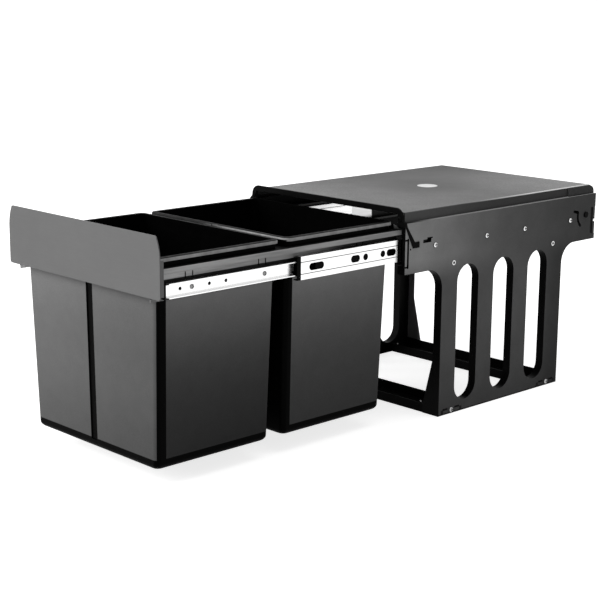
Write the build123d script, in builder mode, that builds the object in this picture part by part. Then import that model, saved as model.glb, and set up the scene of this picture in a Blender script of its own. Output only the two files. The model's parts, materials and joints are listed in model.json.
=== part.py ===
"""Pull-out twin waste bin for a kitchen base cabinet, with its carrier drawn out of the frame.

Millimetres. X runs across the unit, Y from its front to its back and Z up. The origin lies on the
cabinet floor, in the middle of the four floor-fixing holes.
"""

from build123d import *
import math
import os

os.makedirs("parts", exist_ok=True)

SIDES = {"left": -1, "right": 1}
PICK_TOLERANCE = 0.01

# Frame: two flanged side panels of pressed sheet
FRAME_WIDTH = 342.0
FRAME_DEPTH = 480.0
FRAME_FRONT = -238.0
BAND_TOP = 316.4
BAND_BOTTOM = 238.0
LEG_LENGTH = 304.0
LEG_FILLET = 32.0
SHEET = 1.2
FLANGE = 14.5
BEND_RADIUS = 1.0
SLOT_COUNT = 3
SLOT_PITCH = 88.0
SLOT_WIDTH = 51.0
SLOT_BOTTOM = 18.0
SLOT_TOP = 237.0
SLOT_MID_Y = -2.0
SLOT_COLLAR = 14.0
GUSSET_TOP = 92.0
GUSSET_HEM = 15.0
GUSSET_WIDTH = 33.0

# Base crossbars: channels that lie on the floor between the panels' webs
CROSSBAR_WIDTH = 56.0
CROSSBAR_HEIGHT = 15.0
CROSSBAR_TAB_WIDTH = 41.0
CROSSBAR_SCREW_INSET = 30.0
CROSSBAR_SCREW_Z = 6.5
CROSSBAR_GAP = 0.5
TONGUE_SPREAD = 28.0
TONGUE_LENGTH = 11.0
TONGUE_Z = 9.0
TONGUE_CLEARANCE = 0.3
FLOOR_HOLE_SPREAD_X = 190.0
FLOOR_HOLE_SPREAD_Y = 215.0
FLOOR_HOLE_DIAMETER = 5.5

# Assembly slots and holes in the panels' webs
FRONT_SLOT_INSET = 6.6
REAR_SLOT_INSET = 9.3
EDGE_SLOT_WIDTH = 4.0
EDGE_SLOT_BOTTOM = 247.0
EDGE_SLOT_TOP = 293.0
EDGE_SLIT_HEIGHT = 2.5
REAR_NOTCH_DEPTH = 1.5
EDGE_SCREW_INSET = 4.2
EDGE_SCREW_Z = 270.0
EDGE_SCREW_SHANK = 2.5
EDGE_SCREW_HEAD = 5.0
EDGE_SCREW_HEAD_HEIGHT = 1.2
HANGER_INSET = 53.8
HANGER_Z = 286.0
HANGER_WIDTH = 9.2
HANGER_HEIGHT = 7.8
HANGER_LEG = 9.0
HANGER_LEG_HEIGHT = 5.2
HANGER_TICK = 3.0
HANGER_TICK_HEIGHT = 2.0
PILOT_HOLE_INSET = 12.2
PILOT_HOLE_Z = 276.0
PILOT_HOLE_DIAMETER = 3.0

# Side-fixing eyelets on the band's lower edge
EYELET_SPREAD = 251.0
EYELET_RISE = 5.0
EYELET_BORE = 4.5
EYELET_WALL = 0.7
EYELET_FLANGE_DIAMETER = 8.0
EYELET_FLANGE_THICKNESS = 0.6

# Telescopic slides, three members each, on spacers inside the panels
RAIL_Z = 274.5
RAIL_INSET = 3.0
RAIL_REAR_INSET = 27.0
RAIL_SPACER = 5.8
RAIL_SHEET = 1.2
SLIDE_THICKNESS = 12.7
OUTER_HEIGHT = 45.7
OUTER_LIP = 3.0
MID_HEIGHT = 33.3
MID_SHORTENING = 20.0
MID_INSET = 15.8
INNER_HEIGHT = 20.2
INNER_LEAD = 1.0
RAIL_GAP = 0.3
FLANGE_GAP = 0.5
TRAVEL_LOSS = 3.0
MID_SLOT_PLACES = ((30.7, 29.0), (109.0, 18.5), (184.7, 20.0))
MID_SLOT_HEIGHT = 10.5
MID_HOLE_PLACES = (130.1, 166.7)
MID_HOLE_DIAMETER = 10.0
INNER_SCREW_PLACES = (51.0, 180.0)
INNER_SCREW_REAR_INSET = 45.0
INNER_HOLE_PLACES = (31.0, 81.0, 110.0)
RAIL_HOLE_DIAMETER = 5.0
MID_LINE_SPREAD = 17.0
MID_LINE_WIDTH = 1.0
MID_LINE_DEPTH = 0.4
RAIL_SCREW_INSETS = (67.5, 190.0)
RAIL_SCREW_REAR_INSETS = (194.0, 71.5)
RAIL_SCREW_RISE = 2.0
SPACER_DIAMETER = 12.0
BUMPER_LENGTH = 7.0

# Ball cages and balls
CAGE_SHEET = 0.6
CAGE_ARM = 1.0
CAGE_LENGTH = 150.0
BALLS_PER_ROW = 6
BALL_CLEARANCE = 0.05
BALL_POCKET_CLEARANCE = 0.15

# Screws: shank diameter, head diameter and head height
SCREW_SHANK = 4.0
SCREW_HEAD = 8.0
SCREW_HEAD_HEIGHT = 2.2
SCREW_CLEARANCE = 0.1
INNER_SCREW_HEAD = 7.0
INNER_SCREW_HEAD_HEIGHT = 1.2

# Front arch over the mouth of the frame
ARCH_RISE = 21.9
ARCH_BAR_HEIGHT = 9.0
ARCH_FOOT_DROP = 6.4
ARCH_DEPTH = 3.0
ARCH_STRUT = 1.5
ARCH_CROWN_INSET = 4.0
ARCH_SLANT = 5.5
ARCH_STRUT_WIDTH = 3.5
ARCH_CORNER = 14.0
ARCH_SCREW_RISE = 5.6
ARCH_TAB_RISE = 11.6
ARCH_TAB_MARGIN = 1.0
ARCH_HOOK_Z = 281.5
ARCH_HOOK_LENGTH = 13.5
ARCH_HOOK_HEIGHT = 8.5
ARCH_HOOK_INSET = 17.0
ARCH_HOOK_CLEARANCE = 0.5

# Lid on two rear pivots, with a pin in an arc slot as its stop
LID_SIDE_INSET = 5.5
LID_INSET = 3.7
LID_REAR_INSET = 3.0
LID_HEIGHT = 15.3
LID_SHEET = 1.0
LID_REAR_RADIUS = 13.0
LID_EDGE_RADIUS = 2.0
LID_OPENING = 67.0
BADGE_DIAMETER = 34.0
BADGE_THICKNESS = 0.8
PIVOT_INSET = 28.3
PIVOT_Z = 281.7
PIVOT_DIAMETER = 8.0
PIVOT_HEAD = 10.0
PIVOT_CLEARANCE = 0.05
ARM_THICKNESS = 2.0
ARM_GAP = 0.8
ARM_STRIP_DROP = 8.0
ARM_BOSS = 11.0
ARM_NECK = 31.0
STOP_RADIUS = 22.0
STOP_ANGLE = 232.0
STOP_ENTRY_LENGTH = 11.0
STOP_ENTRY_ANGLE = 167.0
STOP_DIAMETER = 4.0
STOP_CLEARANCE = 0.4
LID_NOTCH_LENGTH = 75.0
LID_NOTCH_BOTTOM = 262.0
RIVET_DIAMETER = 4.0
RIVET_HEAD = 7.0
RIVET_HEAD_HEIGHT = 1.0
RIVET_SPREAD = 34.0
WASHER_DIAMETER = 16.0
WASHER_GAP = 0.3

# Carrier that holds the bins, and the plate on its front
CARRIER_TOP = 306.0
CARRIER_WALL = 1.5
CARRIER_WALL_DROP = 12.5
CARRIER_LIP_INSET = 2.5
CARRIER_SKIN = 3.0
CARRIER_RIB = 2.0
CARRIER_RIB_DEPTH = 21.0
CARRIER_FRONT_BAR = 10.0
CARRIER_MID_BAR = 17.4
CARRIER_REAR_BAR = 13.2
CARRIER_REAR_INSET = 3.0
CARRIER_EDGE_RADIUS = 2.0
CLIP_SLIT_WIDTH = 2.0
CLIP_SLIT_GAP = 12.5
CLIP_PLACES = (64.0, 193.0, 385.0)
PLATE_OVERLAP = 2.0
PLATE_LEAD = 18.3
PLATE_BOTTOM = 268.0
PLATE_HEIGHT = 83.6
PLATE_SHOULDER_DROP = 31.6
PLATE_TAPER = 8.0
PLATE_CORNER = 4.0
PLATE_SHEET = 1.5
PLATE_RETURN = 5.0
STUD_DIAMETER = 4.0
STUD_LENGTH = 7.0
STUD_SPREAD_X = 240.0
STUD_SPACING = 16.0
NUT_WIDTH = 7.0
NUT_HEIGHT = 3.2

# Bins: tapered tubs that hang in the carrier by a collar
BIN_DEPTH = 279.0
BIN_SIDE_TAPER = 10.0
BIN_END_TAPER = 4.5
BIN_WALL = 2.4
BIN_CLEARANCE = 0.8
BIN_CORNER = 7.5
BIN_BASE_RADIUS = 8.0
BIN_BASE_STEPS = 4
COLLAR_HEIGHT = 7.0
COLLAR_STEP = 2.5
RIM_HEIGHT = 6.0
RIM_SIDE_OVERHANG = 6.0
RIM_END_OVERHANG = 4.0
RIM_RADIUS = 2.5
GROOVE_WIDTH = 13.0
GROOVE_DEPTH = 1.4
GROOVE_START = 12.0

# Places that follow from the sizes above
HALF_WIDTH = FRAME_WIDTH / 2
WEB_X = HALF_WIDTH - SHEET
FLANGE_X = HALF_WIDTH - FLANGE
FRAME_REAR = FRAME_FRONT + FRAME_DEPTH
LEG_FRONT = -LEG_LENGTH / 2
LEG_REAR = LEG_LENGTH / 2
ARCH_TOP = BAND_TOP + ARCH_RISE
ARCH_FOOT_Z = BAND_TOP - ARCH_FOOT_DROP
ARCH_SCREW_Z = BAND_TOP + ARCH_SCREW_RISE
ARCH_TAB_TOP = BAND_TOP + ARCH_TAB_RISE
RAIL_X = WEB_X - RAIL_SPACER
RAIL_FRONT = FRAME_FRONT + RAIL_INSET
RAIL_LENGTH = FRAME_DEPTH - RAIL_INSET - RAIL_REAR_INSET
MID_LENGTH = RAIL_LENGTH - MID_SHORTENING
TRAVEL = RAIL_LENGTH - TRAVEL_LOSS
RAIL_TOP = RAIL_Z + OUTER_HEIGHT / 2
MID_FRONT = RAIL_FRONT + MID_INSET - TRAVEL / 2
INNER_FRONT = RAIL_FRONT - INNER_LEAD - TRAVEL
RAIL_SCREW_Z = RAIL_Z + RAIL_SCREW_RISE
RAIL_SCREW_Y = [FRAME_FRONT + inset for inset in RAIL_SCREW_INSETS]
RAIL_SCREW_Y += [FRAME_REAR - inset for inset in RAIL_SCREW_REAR_INSETS]
EYELET_Z = BAND_BOTTOM + EYELET_RISE
SCREW_HOLE = SCREW_SHANK / 2 + SCREW_CLEARANCE
PIVOT_Y = FRAME_REAR - PIVOT_INSET
STOP_Y = PIVOT_Y + STOP_RADIUS * math.cos(math.radians(STOP_ANGLE))
STOP_Z = PIVOT_Z + STOP_RADIUS * math.sin(math.radians(STOP_ANGLE))
STOP_SLOT = STOP_DIAMETER + 2 * STOP_CLEARANCE
STOP_END = math.radians(STOP_ANGLE - LID_OPENING)
STOP_ENTRY = math.radians(STOP_ENTRY_ANGLE)
STOP_ENTRY_MIDDLE = (
    PIVOT_Y + STOP_RADIUS * math.cos(STOP_END) + STOP_ENTRY_LENGTH / 2 * math.cos(STOP_ENTRY),
    PIVOT_Z + STOP_RADIUS * math.sin(STOP_END) + STOP_ENTRY_LENGTH / 2 * math.sin(STOP_ENTRY),
)
LID_WIDTH = FRAME_WIDTH - 2 * LID_SIDE_INSET
LID_FRONT = FRAME_FRONT + LID_INSET
LID_REAR = FRAME_REAR - LID_REAR_INSET
LID_TOP = BAND_TOP + LID_HEIGHT
ARM_X = LID_WIDTH / 2
ARM_FRONT = FRAME_REAR - LID_NOTCH_LENGTH + ARM_GAP
ARM_MID_Z = BAND_TOP + LID_HEIGHT / 2
RIVET_MID_Y = (ARM_FRONT + LID_REAR) / 2
PLATE_WIDTH = FRAME_WIDTH + 2 * PLATE_OVERLAP
PLATE_TOP = PLATE_BOTTOM + PLATE_HEIGHT
PLATE_SHOULDER = PLATE_TOP - PLATE_SHOULDER_DROP
PLATE_FRONT = INNER_FRONT - PLATE_LEAD
PLATE_BACK = PLATE_FRONT + PLATE_SHEET
CARRIER_IN_X = RAIL_X - SLIDE_THICKNESS - CARRIER_WALL
CARRIER_LIP_X = RAIL_X - CARRIER_LIP_INSET
CARRIER_LIP_Z = RAIL_TOP + 2 * FLANGE_GAP
CARRIER_WALL_Z = RAIL_Z - CARRIER_WALL_DROP
CARRIER_REAR = INNER_FRONT + RAIL_LENGTH - CARRIER_REAR_INSET
FRONT_OPENING_Y = PLATE_BACK + CARRIER_FRONT_BAR
OPENING_LENGTH = (CARRIER_REAR - CARRIER_REAR_BAR - CARRIER_MID_BAR - FRONT_OPENING_Y) / 2
BIN_LENGTH = OPENING_LENGTH - 2 * BIN_CLEARANCE
REAR_OPENING_Y = FRONT_OPENING_Y + OPENING_LENGTH + CARRIER_MID_BAR
BIN_HALF_WIDTH = CARRIER_IN_X - BIN_CLEARANCE
BIN_FLOOR = CARRIER_TOP - BIN_DEPTH
BIN_CENTRES = {
    "front": FRONT_OPENING_Y + OPENING_LENGTH / 2,
    "rear": REAR_OPENING_Y + OPENING_LENGTH / 2,
}

# How deep each slide member lies, measured from the rail's back towards the bins
CAGE_START = RAIL_SHEET + RAIL_GAP
MID_START = CAGE_START + CAGE_SHEET + RAIL_GAP
INNER_CAGE_START = MID_START + RAIL_SHEET + RAIL_GAP
INNER_START = INNER_CAGE_START + CAGE_SHEET + RAIL_GAP
INNER_WEB = SLIDE_THICKNESS - RAIL_SHEET
MID_END = INNER_WEB - RAIL_GAP / 3
OUTER_END = SLIDE_THICKNESS - FLANGE_GAP
OUTER_FACE = OUTER_HEIGHT / 2 - RAIL_SHEET
MID_FACE = MID_HEIGHT / 2 - RAIL_SHEET

# Ball rows: depth of the ball centres, height from the rail axis, ball radius and cage start
OUTER_ROW = {
    "depth": (CAGE_START + OUTER_END) / 2,
    "height": (OUTER_FACE + MID_HEIGHT / 2) / 2,
    "radius": (OUTER_FACE - MID_HEIGHT / 2) / 2 - BALL_CLEARANCE,
    "start": CAGE_START,
    "middle": (RAIL_FRONT + MID_FRONT + MID_LENGTH) / 2,
}
INNER_ROW = {
    "depth": (INNER_START + MID_END) / 2,
    "height": (MID_FACE + INNER_HEIGHT / 2) / 2,
    "radius": (MID_FACE - INNER_HEIGHT / 2) / 2 - BALL_CLEARANCE,
    "start": INNER_CAGE_START,
    "middle": (MID_FRONT + INNER_FRONT + RAIL_LENGTH) / 2,
}


def at_y(y):
    """Plane across the unit at y: local x is X, local y is Z, and a negative extrusion runs towards +Y."""
    return Plane.XZ.offset(-y)


def outline(points):
    """Filled straight-sided outline in the sketch that is open."""
    Polygon(*points, align=None)


def box_between(low, high, mode=Mode.ADD):
    """Box from its lowest to its highest corner, in the part that is open."""
    centre = [(a + b) / 2 for a, b in zip(low, high)]
    size = [b - a for a, b in zip(low, high)]
    with Locations(tuple(centre)):
        Box(*size, mode=mode)


def panel_outline(inset):
    """Side view of a panel, drawn in by inset: the band and the leg that carries it."""
    outline(
        [
            (FRAME_FRONT + inset, BAND_TOP - inset),
            (FRAME_REAR - inset, BAND_TOP - inset),
            (FRAME_REAR - inset, BAND_BOTTOM + inset),
            (LEG_REAR - inset, BAND_BOTTOM + inset),
            (LEG_REAR - inset, inset),
            (LEG_FRONT + inset, inset),
            (LEG_FRONT + inset, BAND_BOTTOM + inset),
            (FRAME_FRONT + inset, BAND_BOTTOM + inset),
        ]
    )


def round_leg_tops(sketch, inset):
    """Rounds the two inner corners where the leg meets the band."""
    tops = [
        v
        for v in sketch.vertices()
        if abs(abs(v.X) - (LEG_REAR - inset)) < PICK_TOLERANCE
        and abs(v.Y - BAND_BOTTOM - inset) < PICK_TOLERANCE
    ]
    fillet(tops, LEG_FILLET + inset)


def slot_row(grow):
    """The panel's row of tall slots, widened by grow on every side."""
    height = SLOT_TOP - SLOT_BOTTOM
    with Locations((SLOT_MID_Y, (SLOT_TOP + SLOT_BOTTOM) / 2)):
        with GridLocations(SLOT_PITCH, 0, SLOT_COUNT, 1):
            SlotOverall(height + 2 * grow, SLOT_WIDTH + 2 * grow, rotation=90)


def slide_bar(side, start, end, low, high):
    """One straight run of a rail's section: depth from the rail's back, height from its axis."""
    with Locations((side * (RAIL_X - (start + end) / 2), RAIL_Z + (low + high) / 2)):
        Rectangle(end - start, high - low)


def slide_channel(side, web_start, flange_end, height, lip=0.0):
    """Channel section: a web of RAIL_SHEET at web_start, with a flange at each edge up to flange_end."""
    half = height / 2
    slide_bar(side, web_start, web_start + RAIL_SHEET, -half, half)
    for sign in (-1, 1):
        edges = sorted((sign * half, sign * (half - RAIL_SHEET)))
        ends = sorted((web_start, flange_end))
        slide_bar(side, *ends, *edges)
        if lip:
            edges = sorted((sign * half, sign * (half - lip)))
            slide_bar(side, flange_end - RAIL_SHEET, flange_end, *edges)


def ball_places(side, row):
    """Centres of a cage's balls: a row above the rail axis and a row below it."""
    pitch = CAGE_LENGTH / BALLS_PER_ROW
    first = row["middle"] - pitch * (BALLS_PER_ROW - 1) / 2
    x = side * (RAIL_X - row["depth"])
    return [
        (x, first + pitch * i, RAIL_Z + sign * row["height"])
        for sign in (-1, 1)
        for i in range(BALLS_PER_ROW)
    ]


def across(side, x, places, radius, length, mode=Mode.ADD):
    """Round pegs along X from x, running outwards by length, at (y, z) places."""
    with BuildSketch(Plane.YZ.offset(side * x)) as ends:
        with Locations(*places):
            Circle(radius)
    extrude(ends.sketch, amount=side * length, mode=mode)


def save(piece, label):
    """Names a finished piece and writes it."""
    piece.part.label = label
    export_step(piece.part, f"parts/{label}.step")


CROSSBAR_SCREW_Y = LEG_REAR - CROSSBAR_SCREW_INSET
CROSSBAR_INSIDE = LEG_REAR - SHEET - CROSSBAR_WIDTH
TONGUE_PLACES = [
    (end * CROSSBAR_SCREW_Y + sign * TONGUE_SPREAD / 2, TONGUE_Z) for end in (-1, 1) for sign in (-1, 1)
]
CROSSBAR_SCREW_PLACES = [(sign * CROSSBAR_SCREW_Y, CROSSBAR_SCREW_Z) for sign in (-1, 1)]
EYELET_PLACES = [(sign * EYELET_SPREAD / 2, EYELET_Z) for sign in (-1, 1)]
RAIL_SCREW_PLACES = [(y, RAIL_SCREW_Z) for y in RAIL_SCREW_Y]
HOOK_FRONT = FRAME_FRONT + ARCH_HOOK_INSET
HOOK_REAR = HOOK_FRONT + ARCH_HOOK_LENGTH
ARCH_HOOK_Y = (HOOK_FRONT + HOOK_REAR) / 2
EDGE_SCREW_PLACE = [(FRAME_REAR - EDGE_SCREW_INSET, EDGE_SCREW_Z)]
EDGE_SLOT_HEIGHT = EDGE_SLOT_TOP - EDGE_SLOT_BOTTOM
EDGE_SLOT_Z = (EDGE_SLOT_TOP + EDGE_SLOT_BOTTOM) / 2
FRONT_SLOT_PLACE = (FRAME_FRONT + FRONT_SLOT_INSET, EDGE_SLOT_Z)
REAR_GROOVE_PLACE = (FRAME_REAR - REAR_SLOT_INSET, EDGE_SLOT_Z)
EDGE_SLIT_PLACES = [
    (FRAME_FRONT + FRONT_SLOT_INSET / 2, EDGE_SLOT_TOP - EDGE_SLIT_HEIGHT),
    (FRAME_FRONT + FRONT_SLOT_INSET / 2, EDGE_SLOT_BOTTOM + EDGE_SLIT_HEIGHT),
]
HANGER_Y = FRAME_FRONT + HANGER_INSET
HANGER_LEG_OFFSET = (HANGER_WIDTH + HANGER_LEG) / 2
HANGER_LEG_DROP = (HANGER_HEIGHT - HANGER_LEG_HEIGHT) / 2
HANGER_TICK_OFFSET = (HANGER_WIDTH + HANGER_TICK) / 2
HANGER_TICK_RISE = (HANGER_HEIGHT - HANGER_TICK_HEIGHT) / 2
ARCH_HALF = HALF_WIDTH + ARCH_STRUT
ARCH_CROWN = HALF_WIDTH - ARCH_CROWN_INSET
ARCH_SCREW_X = (FLANGE_X + ARCH_CROWN) / 2
ARCH_SCREW_PLACES = [(-ARCH_SCREW_X, ARCH_SCREW_Z), (ARCH_SCREW_X, ARCH_SCREW_Z)]

# Side panels
for side_name, side in SIDES.items():
    outer_plane = Plane.YZ.offset(side * HALF_WIDTH)
    with BuildPart() as side_panel:
        with BuildSketch(outer_plane) as blank:
            panel_outline(0)
            round_leg_tops(blank, 0)
        extrude(amount=-side * FLANGE)
        with BuildSketch(Plane.YZ.offset(side * WEB_X)) as hollow:
            panel_outline(SHEET)
            round_leg_tops(hollow, SHEET)
        extrude(amount=-side * FLANGE, mode=Mode.SUBTRACT)
        outer_face = side_panel.faces().sort_by(Axis.X)[-1 if side > 0 else 0]
        fillet(outer_face.outer_wire().edges(), BEND_RADIUS)
        # collars round the slots
        with BuildSketch(outer_plane):
            slot_row(SHEET)
        extrude(amount=-side * SLOT_COLLAR)
        with BuildSketch(outer_plane):
            slot_row(0)
        extrude(amount=-side * FLANGE, mode=Mode.SUBTRACT)
        # leg flanges widen into gussets towards the floor
        for y, reach in ((LEG_FRONT, -SHEET), (LEG_REAR, SHEET)):
            with BuildSketch(at_y(y)):
                outline(
                    [
                        (side * WEB_X, GUSSET_TOP),
                        (side * FLANGE_X, GUSSET_TOP),
                        (side * (HALF_WIDTH - GUSSET_WIDTH), GUSSET_HEM),
                        (side * (HALF_WIDTH - GUSSET_WIDTH), 0),
                        (side * WEB_X, 0),
                    ]
                )
            extrude(amount=reach)
        # tab above the front flange, for the arch
        tab = sorted((side * FLANGE_X, side * (ARCH_CROWN - ARCH_TAB_MARGIN)))
        box_between(
            (tab[0], FRAME_FRONT, BAND_TOP - SHEET),
            (tab[1], FRAME_FRONT + SHEET, ARCH_TAB_TOP),
        )
        with BuildSketch(at_y(FRAME_FRONT)):
            with Locations((side * ARCH_SCREW_X, ARCH_SCREW_Z)):
                Circle(SCREW_HOLE)
        extrude(amount=-SHEET, mode=Mode.SUBTRACT)
        # mouth in the front flange for the rails and the carrier's lip
        mouth = sorted((side * (FLANGE_X - SHEET), side * (RAIL_X + 2 * RAIL_GAP)))
        box_between(
            (mouth[0], FRAME_FRONT - SHEET, RAIL_Z - OUTER_HEIGHT / 2 - 2 * FLANGE_GAP),
            (mouth[1], FRAME_FRONT + 2 * SHEET, CARRIER_TOP + 4 * FLANGE_GAP),
            mode=Mode.SUBTRACT,
        )
        # rear corner left open for the lid's arms and the lid's swing
        corner = sorted((side * (FLANGE_X - SHEET), side * WEB_X))
        box_between(
            (corner[0], FRAME_REAR - LID_NOTCH_LENGTH, LID_NOTCH_BOTTOM),
            (corner[1], FRAME_REAR + SHEET, BAND_TOP + SHEET),
            mode=Mode.SUBTRACT,
        )
        # bottom flange left out where the crossbars lie
        for end in (-1, 1):
            run = sorted((end * (LEG_REAR - SHEET), end * (CROSSBAR_INSIDE - CROSSBAR_GAP)))
            box_between((corner[0], run[0], -SHEET), (corner[1], run[1], SHEET), mode=Mode.SUBTRACT)
        # holes through the web
        with BuildSketch(outer_plane):
            with Locations(FRONT_SLOT_PLACE):
                SlotOverall(EDGE_SLOT_HEIGHT, EDGE_SLOT_WIDTH, rotation=90)
            with Locations((FRAME_REAR, EDGE_SLOT_Z)):
                Rectangle(2 * REAR_NOTCH_DEPTH, EDGE_SLOT_HEIGHT)
            with Locations(*EDGE_SCREW_PLACE):
                Circle(EDGE_SCREW_SHANK / 2 + SCREW_CLEARANCE)
            with Locations(*TONGUE_PLACES):
                Rectangle(TONGUE_LENGTH + 2 * TONGUE_CLEARANCE, 2 * SHEET + 2 * TONGUE_CLEARANCE)
            with Locations(*EDGE_SLIT_PLACES):
                Rectangle(FRONT_SLOT_INSET, EDGE_SLIT_HEIGHT)
            with Locations((HANGER_Y, HANGER_Z)):
                Rectangle(HANGER_WIDTH, HANGER_HEIGHT)
            with Locations((HANGER_Y - HANGER_LEG_OFFSET, HANGER_Z - HANGER_LEG_DROP)):
                Rectangle(HANGER_LEG, HANGER_LEG_HEIGHT)
            with Locations((HANGER_Y + HANGER_TICK_OFFSET, HANGER_Z + HANGER_TICK_RISE)):
                Rectangle(HANGER_TICK, HANGER_TICK_HEIGHT)
            with Locations((FRAME_FRONT + PILOT_HOLE_INSET, PILOT_HOLE_Z)):
                Circle(PILOT_HOLE_DIAMETER / 2)
            with Locations(*RAIL_SCREW_PLACES, *CROSSBAR_SCREW_PLACES):
                Circle(SCREW_HOLE)
            with Locations(*EYELET_PLACES):
                Circle(EYELET_BORE / 2 + EYELET_WALL)
            with Locations((PIVOT_Y, PIVOT_Z)):
                Circle(PIVOT_DIAMETER / 2)
            with Locations((ARCH_HOOK_Y, ARCH_HOOK_Z)):
                Rectangle(
                    ARCH_HOOK_LENGTH + 2 * ARCH_HOOK_CLEARANCE,
                    ARCH_HOOK_HEIGHT + 2 * ARCH_HOOK_CLEARANCE,
                )
        extrude(amount=-side * 2 * SHEET, mode=Mode.SUBTRACT)
        with BuildSketch(outer_plane):
            with BuildLine(mode=Mode.PRIVATE) as stop_path:
                CenterArc((PIVOT_Y, PIVOT_Z), STOP_RADIUS, STOP_ANGLE, -LID_OPENING)
            SlotArc(stop_path.edge(), STOP_SLOT)
            with Locations(STOP_ENTRY_MIDDLE):
                SlotCenterToCenter(STOP_ENTRY_LENGTH, STOP_SLOT, rotation=STOP_ENTRY_ANGLE)
        extrude(amount=-side * 2 * SHEET, mode=Mode.SUBTRACT)
        # pressed groove beside the rear edge
        with BuildSketch(outer_plane):
            with Locations(REAR_GROOVE_PLACE):
                SlotOverall(EDGE_SLOT_HEIGHT, EDGE_SLOT_WIDTH, rotation=90)
        extrude(amount=-side * SHEET / 2, mode=Mode.SUBTRACT)
    save(side_panel, f"side_panel_{side_name}")

# Base crossbars
for bar_name, end in (("front", -1), ("rear", 1)):
    outside = end * (LEG_REAR - SHEET)
    inside = end * CROSSBAR_INSIDE
    screw_y = end * CROSSBAR_SCREW_Y
    top = CROSSBAR_HEIGHT
    with BuildPart() as crossbar:
        with BuildSketch(Plane.YZ):
            outline(
                [
                    (outside, 0),
                    (outside, top),
                    (outside - end * SHEET, top),
                    (outside - end * SHEET, SHEET),
                    (inside + end * SHEET, SHEET),
                    (inside + end * SHEET, top),
                    (inside, top),
                    (inside, 0),
                ]
            )
        extrude(amount=WEB_X, both=True)
        for side in SIDES.values():
            tab_x = WEB_X - SHEET
            tab = sorted((side * WEB_X, side * tab_x))
            box_between(
                (tab[0], screw_y - CROSSBAR_TAB_WIDTH / 2, 0),
                (tab[1], screw_y + CROSSBAR_TAB_WIDTH / 2, top),
            )
            across(side, tab_x, [(screw_y, CROSSBAR_SCREW_Z)], SCREW_HOLE, SHEET, Mode.SUBTRACT)
            with BuildSketch(Plane.YZ.offset(side * tab_x)):
                with Locations((screw_y, TONGUE_Z)):
                    with GridLocations(TONGUE_SPREAD, 0, 2, 1):
                        Rectangle(TONGUE_LENGTH, 2 * SHEET)
            extrude(amount=side * 2 * SHEET)
        with Locations((0, end * FLOOR_HOLE_SPREAD_Y / 2, SHEET)):
            with GridLocations(FLOOR_HOLE_SPREAD_X, 0, 2, 1):
                Hole(FLOOR_HOLE_DIAMETER / 2, depth=SHEET)
    save(crossbar, f"base_crossbar_{bar_name}")


def side_screws(places, inner_x, side):
    """Pan-head screws driven inwards from a panel's outer face to inner_x."""
    across(side, inner_x, places, SCREW_SHANK / 2, HALF_WIDTH - inner_x)
    across(side, HALF_WIDTH, places, SCREW_HEAD / 2, SCREW_HEAD_HEIGHT)


with BuildPart() as crossbar_screws:
    for side in SIDES.values():
        side_screws(CROSSBAR_SCREW_PLACES, WEB_X - 2 * SHEET, side)
save(crossbar_screws, "crossbar_screws")

with BuildPart() as rail_screws:
    for side in SIDES.values():
        side_screws(RAIL_SCREW_PLACES, RAIL_X - RAIL_SHEET, side)
save(rail_screws, "rail_screws")

with BuildPart() as edge_screws:
    for side in SIDES.values():
        across(side, WEB_X - SHEET, EDGE_SCREW_PLACE, EDGE_SCREW_SHANK / 2, 2 * SHEET)
        across(side, HALF_WIDTH, EDGE_SCREW_PLACE, EDGE_SCREW_HEAD / 2, EDGE_SCREW_HEAD_HEIGHT)
save(edge_screws, "edge_screws")

with BuildPart() as rail_spacers:
    for side in SIDES.values():
        across(side, RAIL_X, RAIL_SCREW_PLACES, SPACER_DIAMETER / 2, RAIL_SPACER)
        across(side, RAIL_X, RAIL_SCREW_PLACES, SCREW_HOLE, RAIL_SPACER, Mode.SUBTRACT)
save(rail_spacers, "rail_spacers")

with BuildPart() as side_eyelets:
    for side in SIDES.values():
        across(side, WEB_X, EYELET_PLACES, EYELET_BORE / 2 + EYELET_WALL, SHEET)
        across(side, HALF_WIDTH, EYELET_PLACES, EYELET_FLANGE_DIAMETER / 2, EYELET_FLANGE_THICKNESS)
        across(side, WEB_X, EYELET_PLACES, EYELET_BORE / 2, SHEET + EYELET_FLANGE_THICKNESS, Mode.SUBTRACT)
save(side_eyelets, "side_eyelets")

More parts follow.
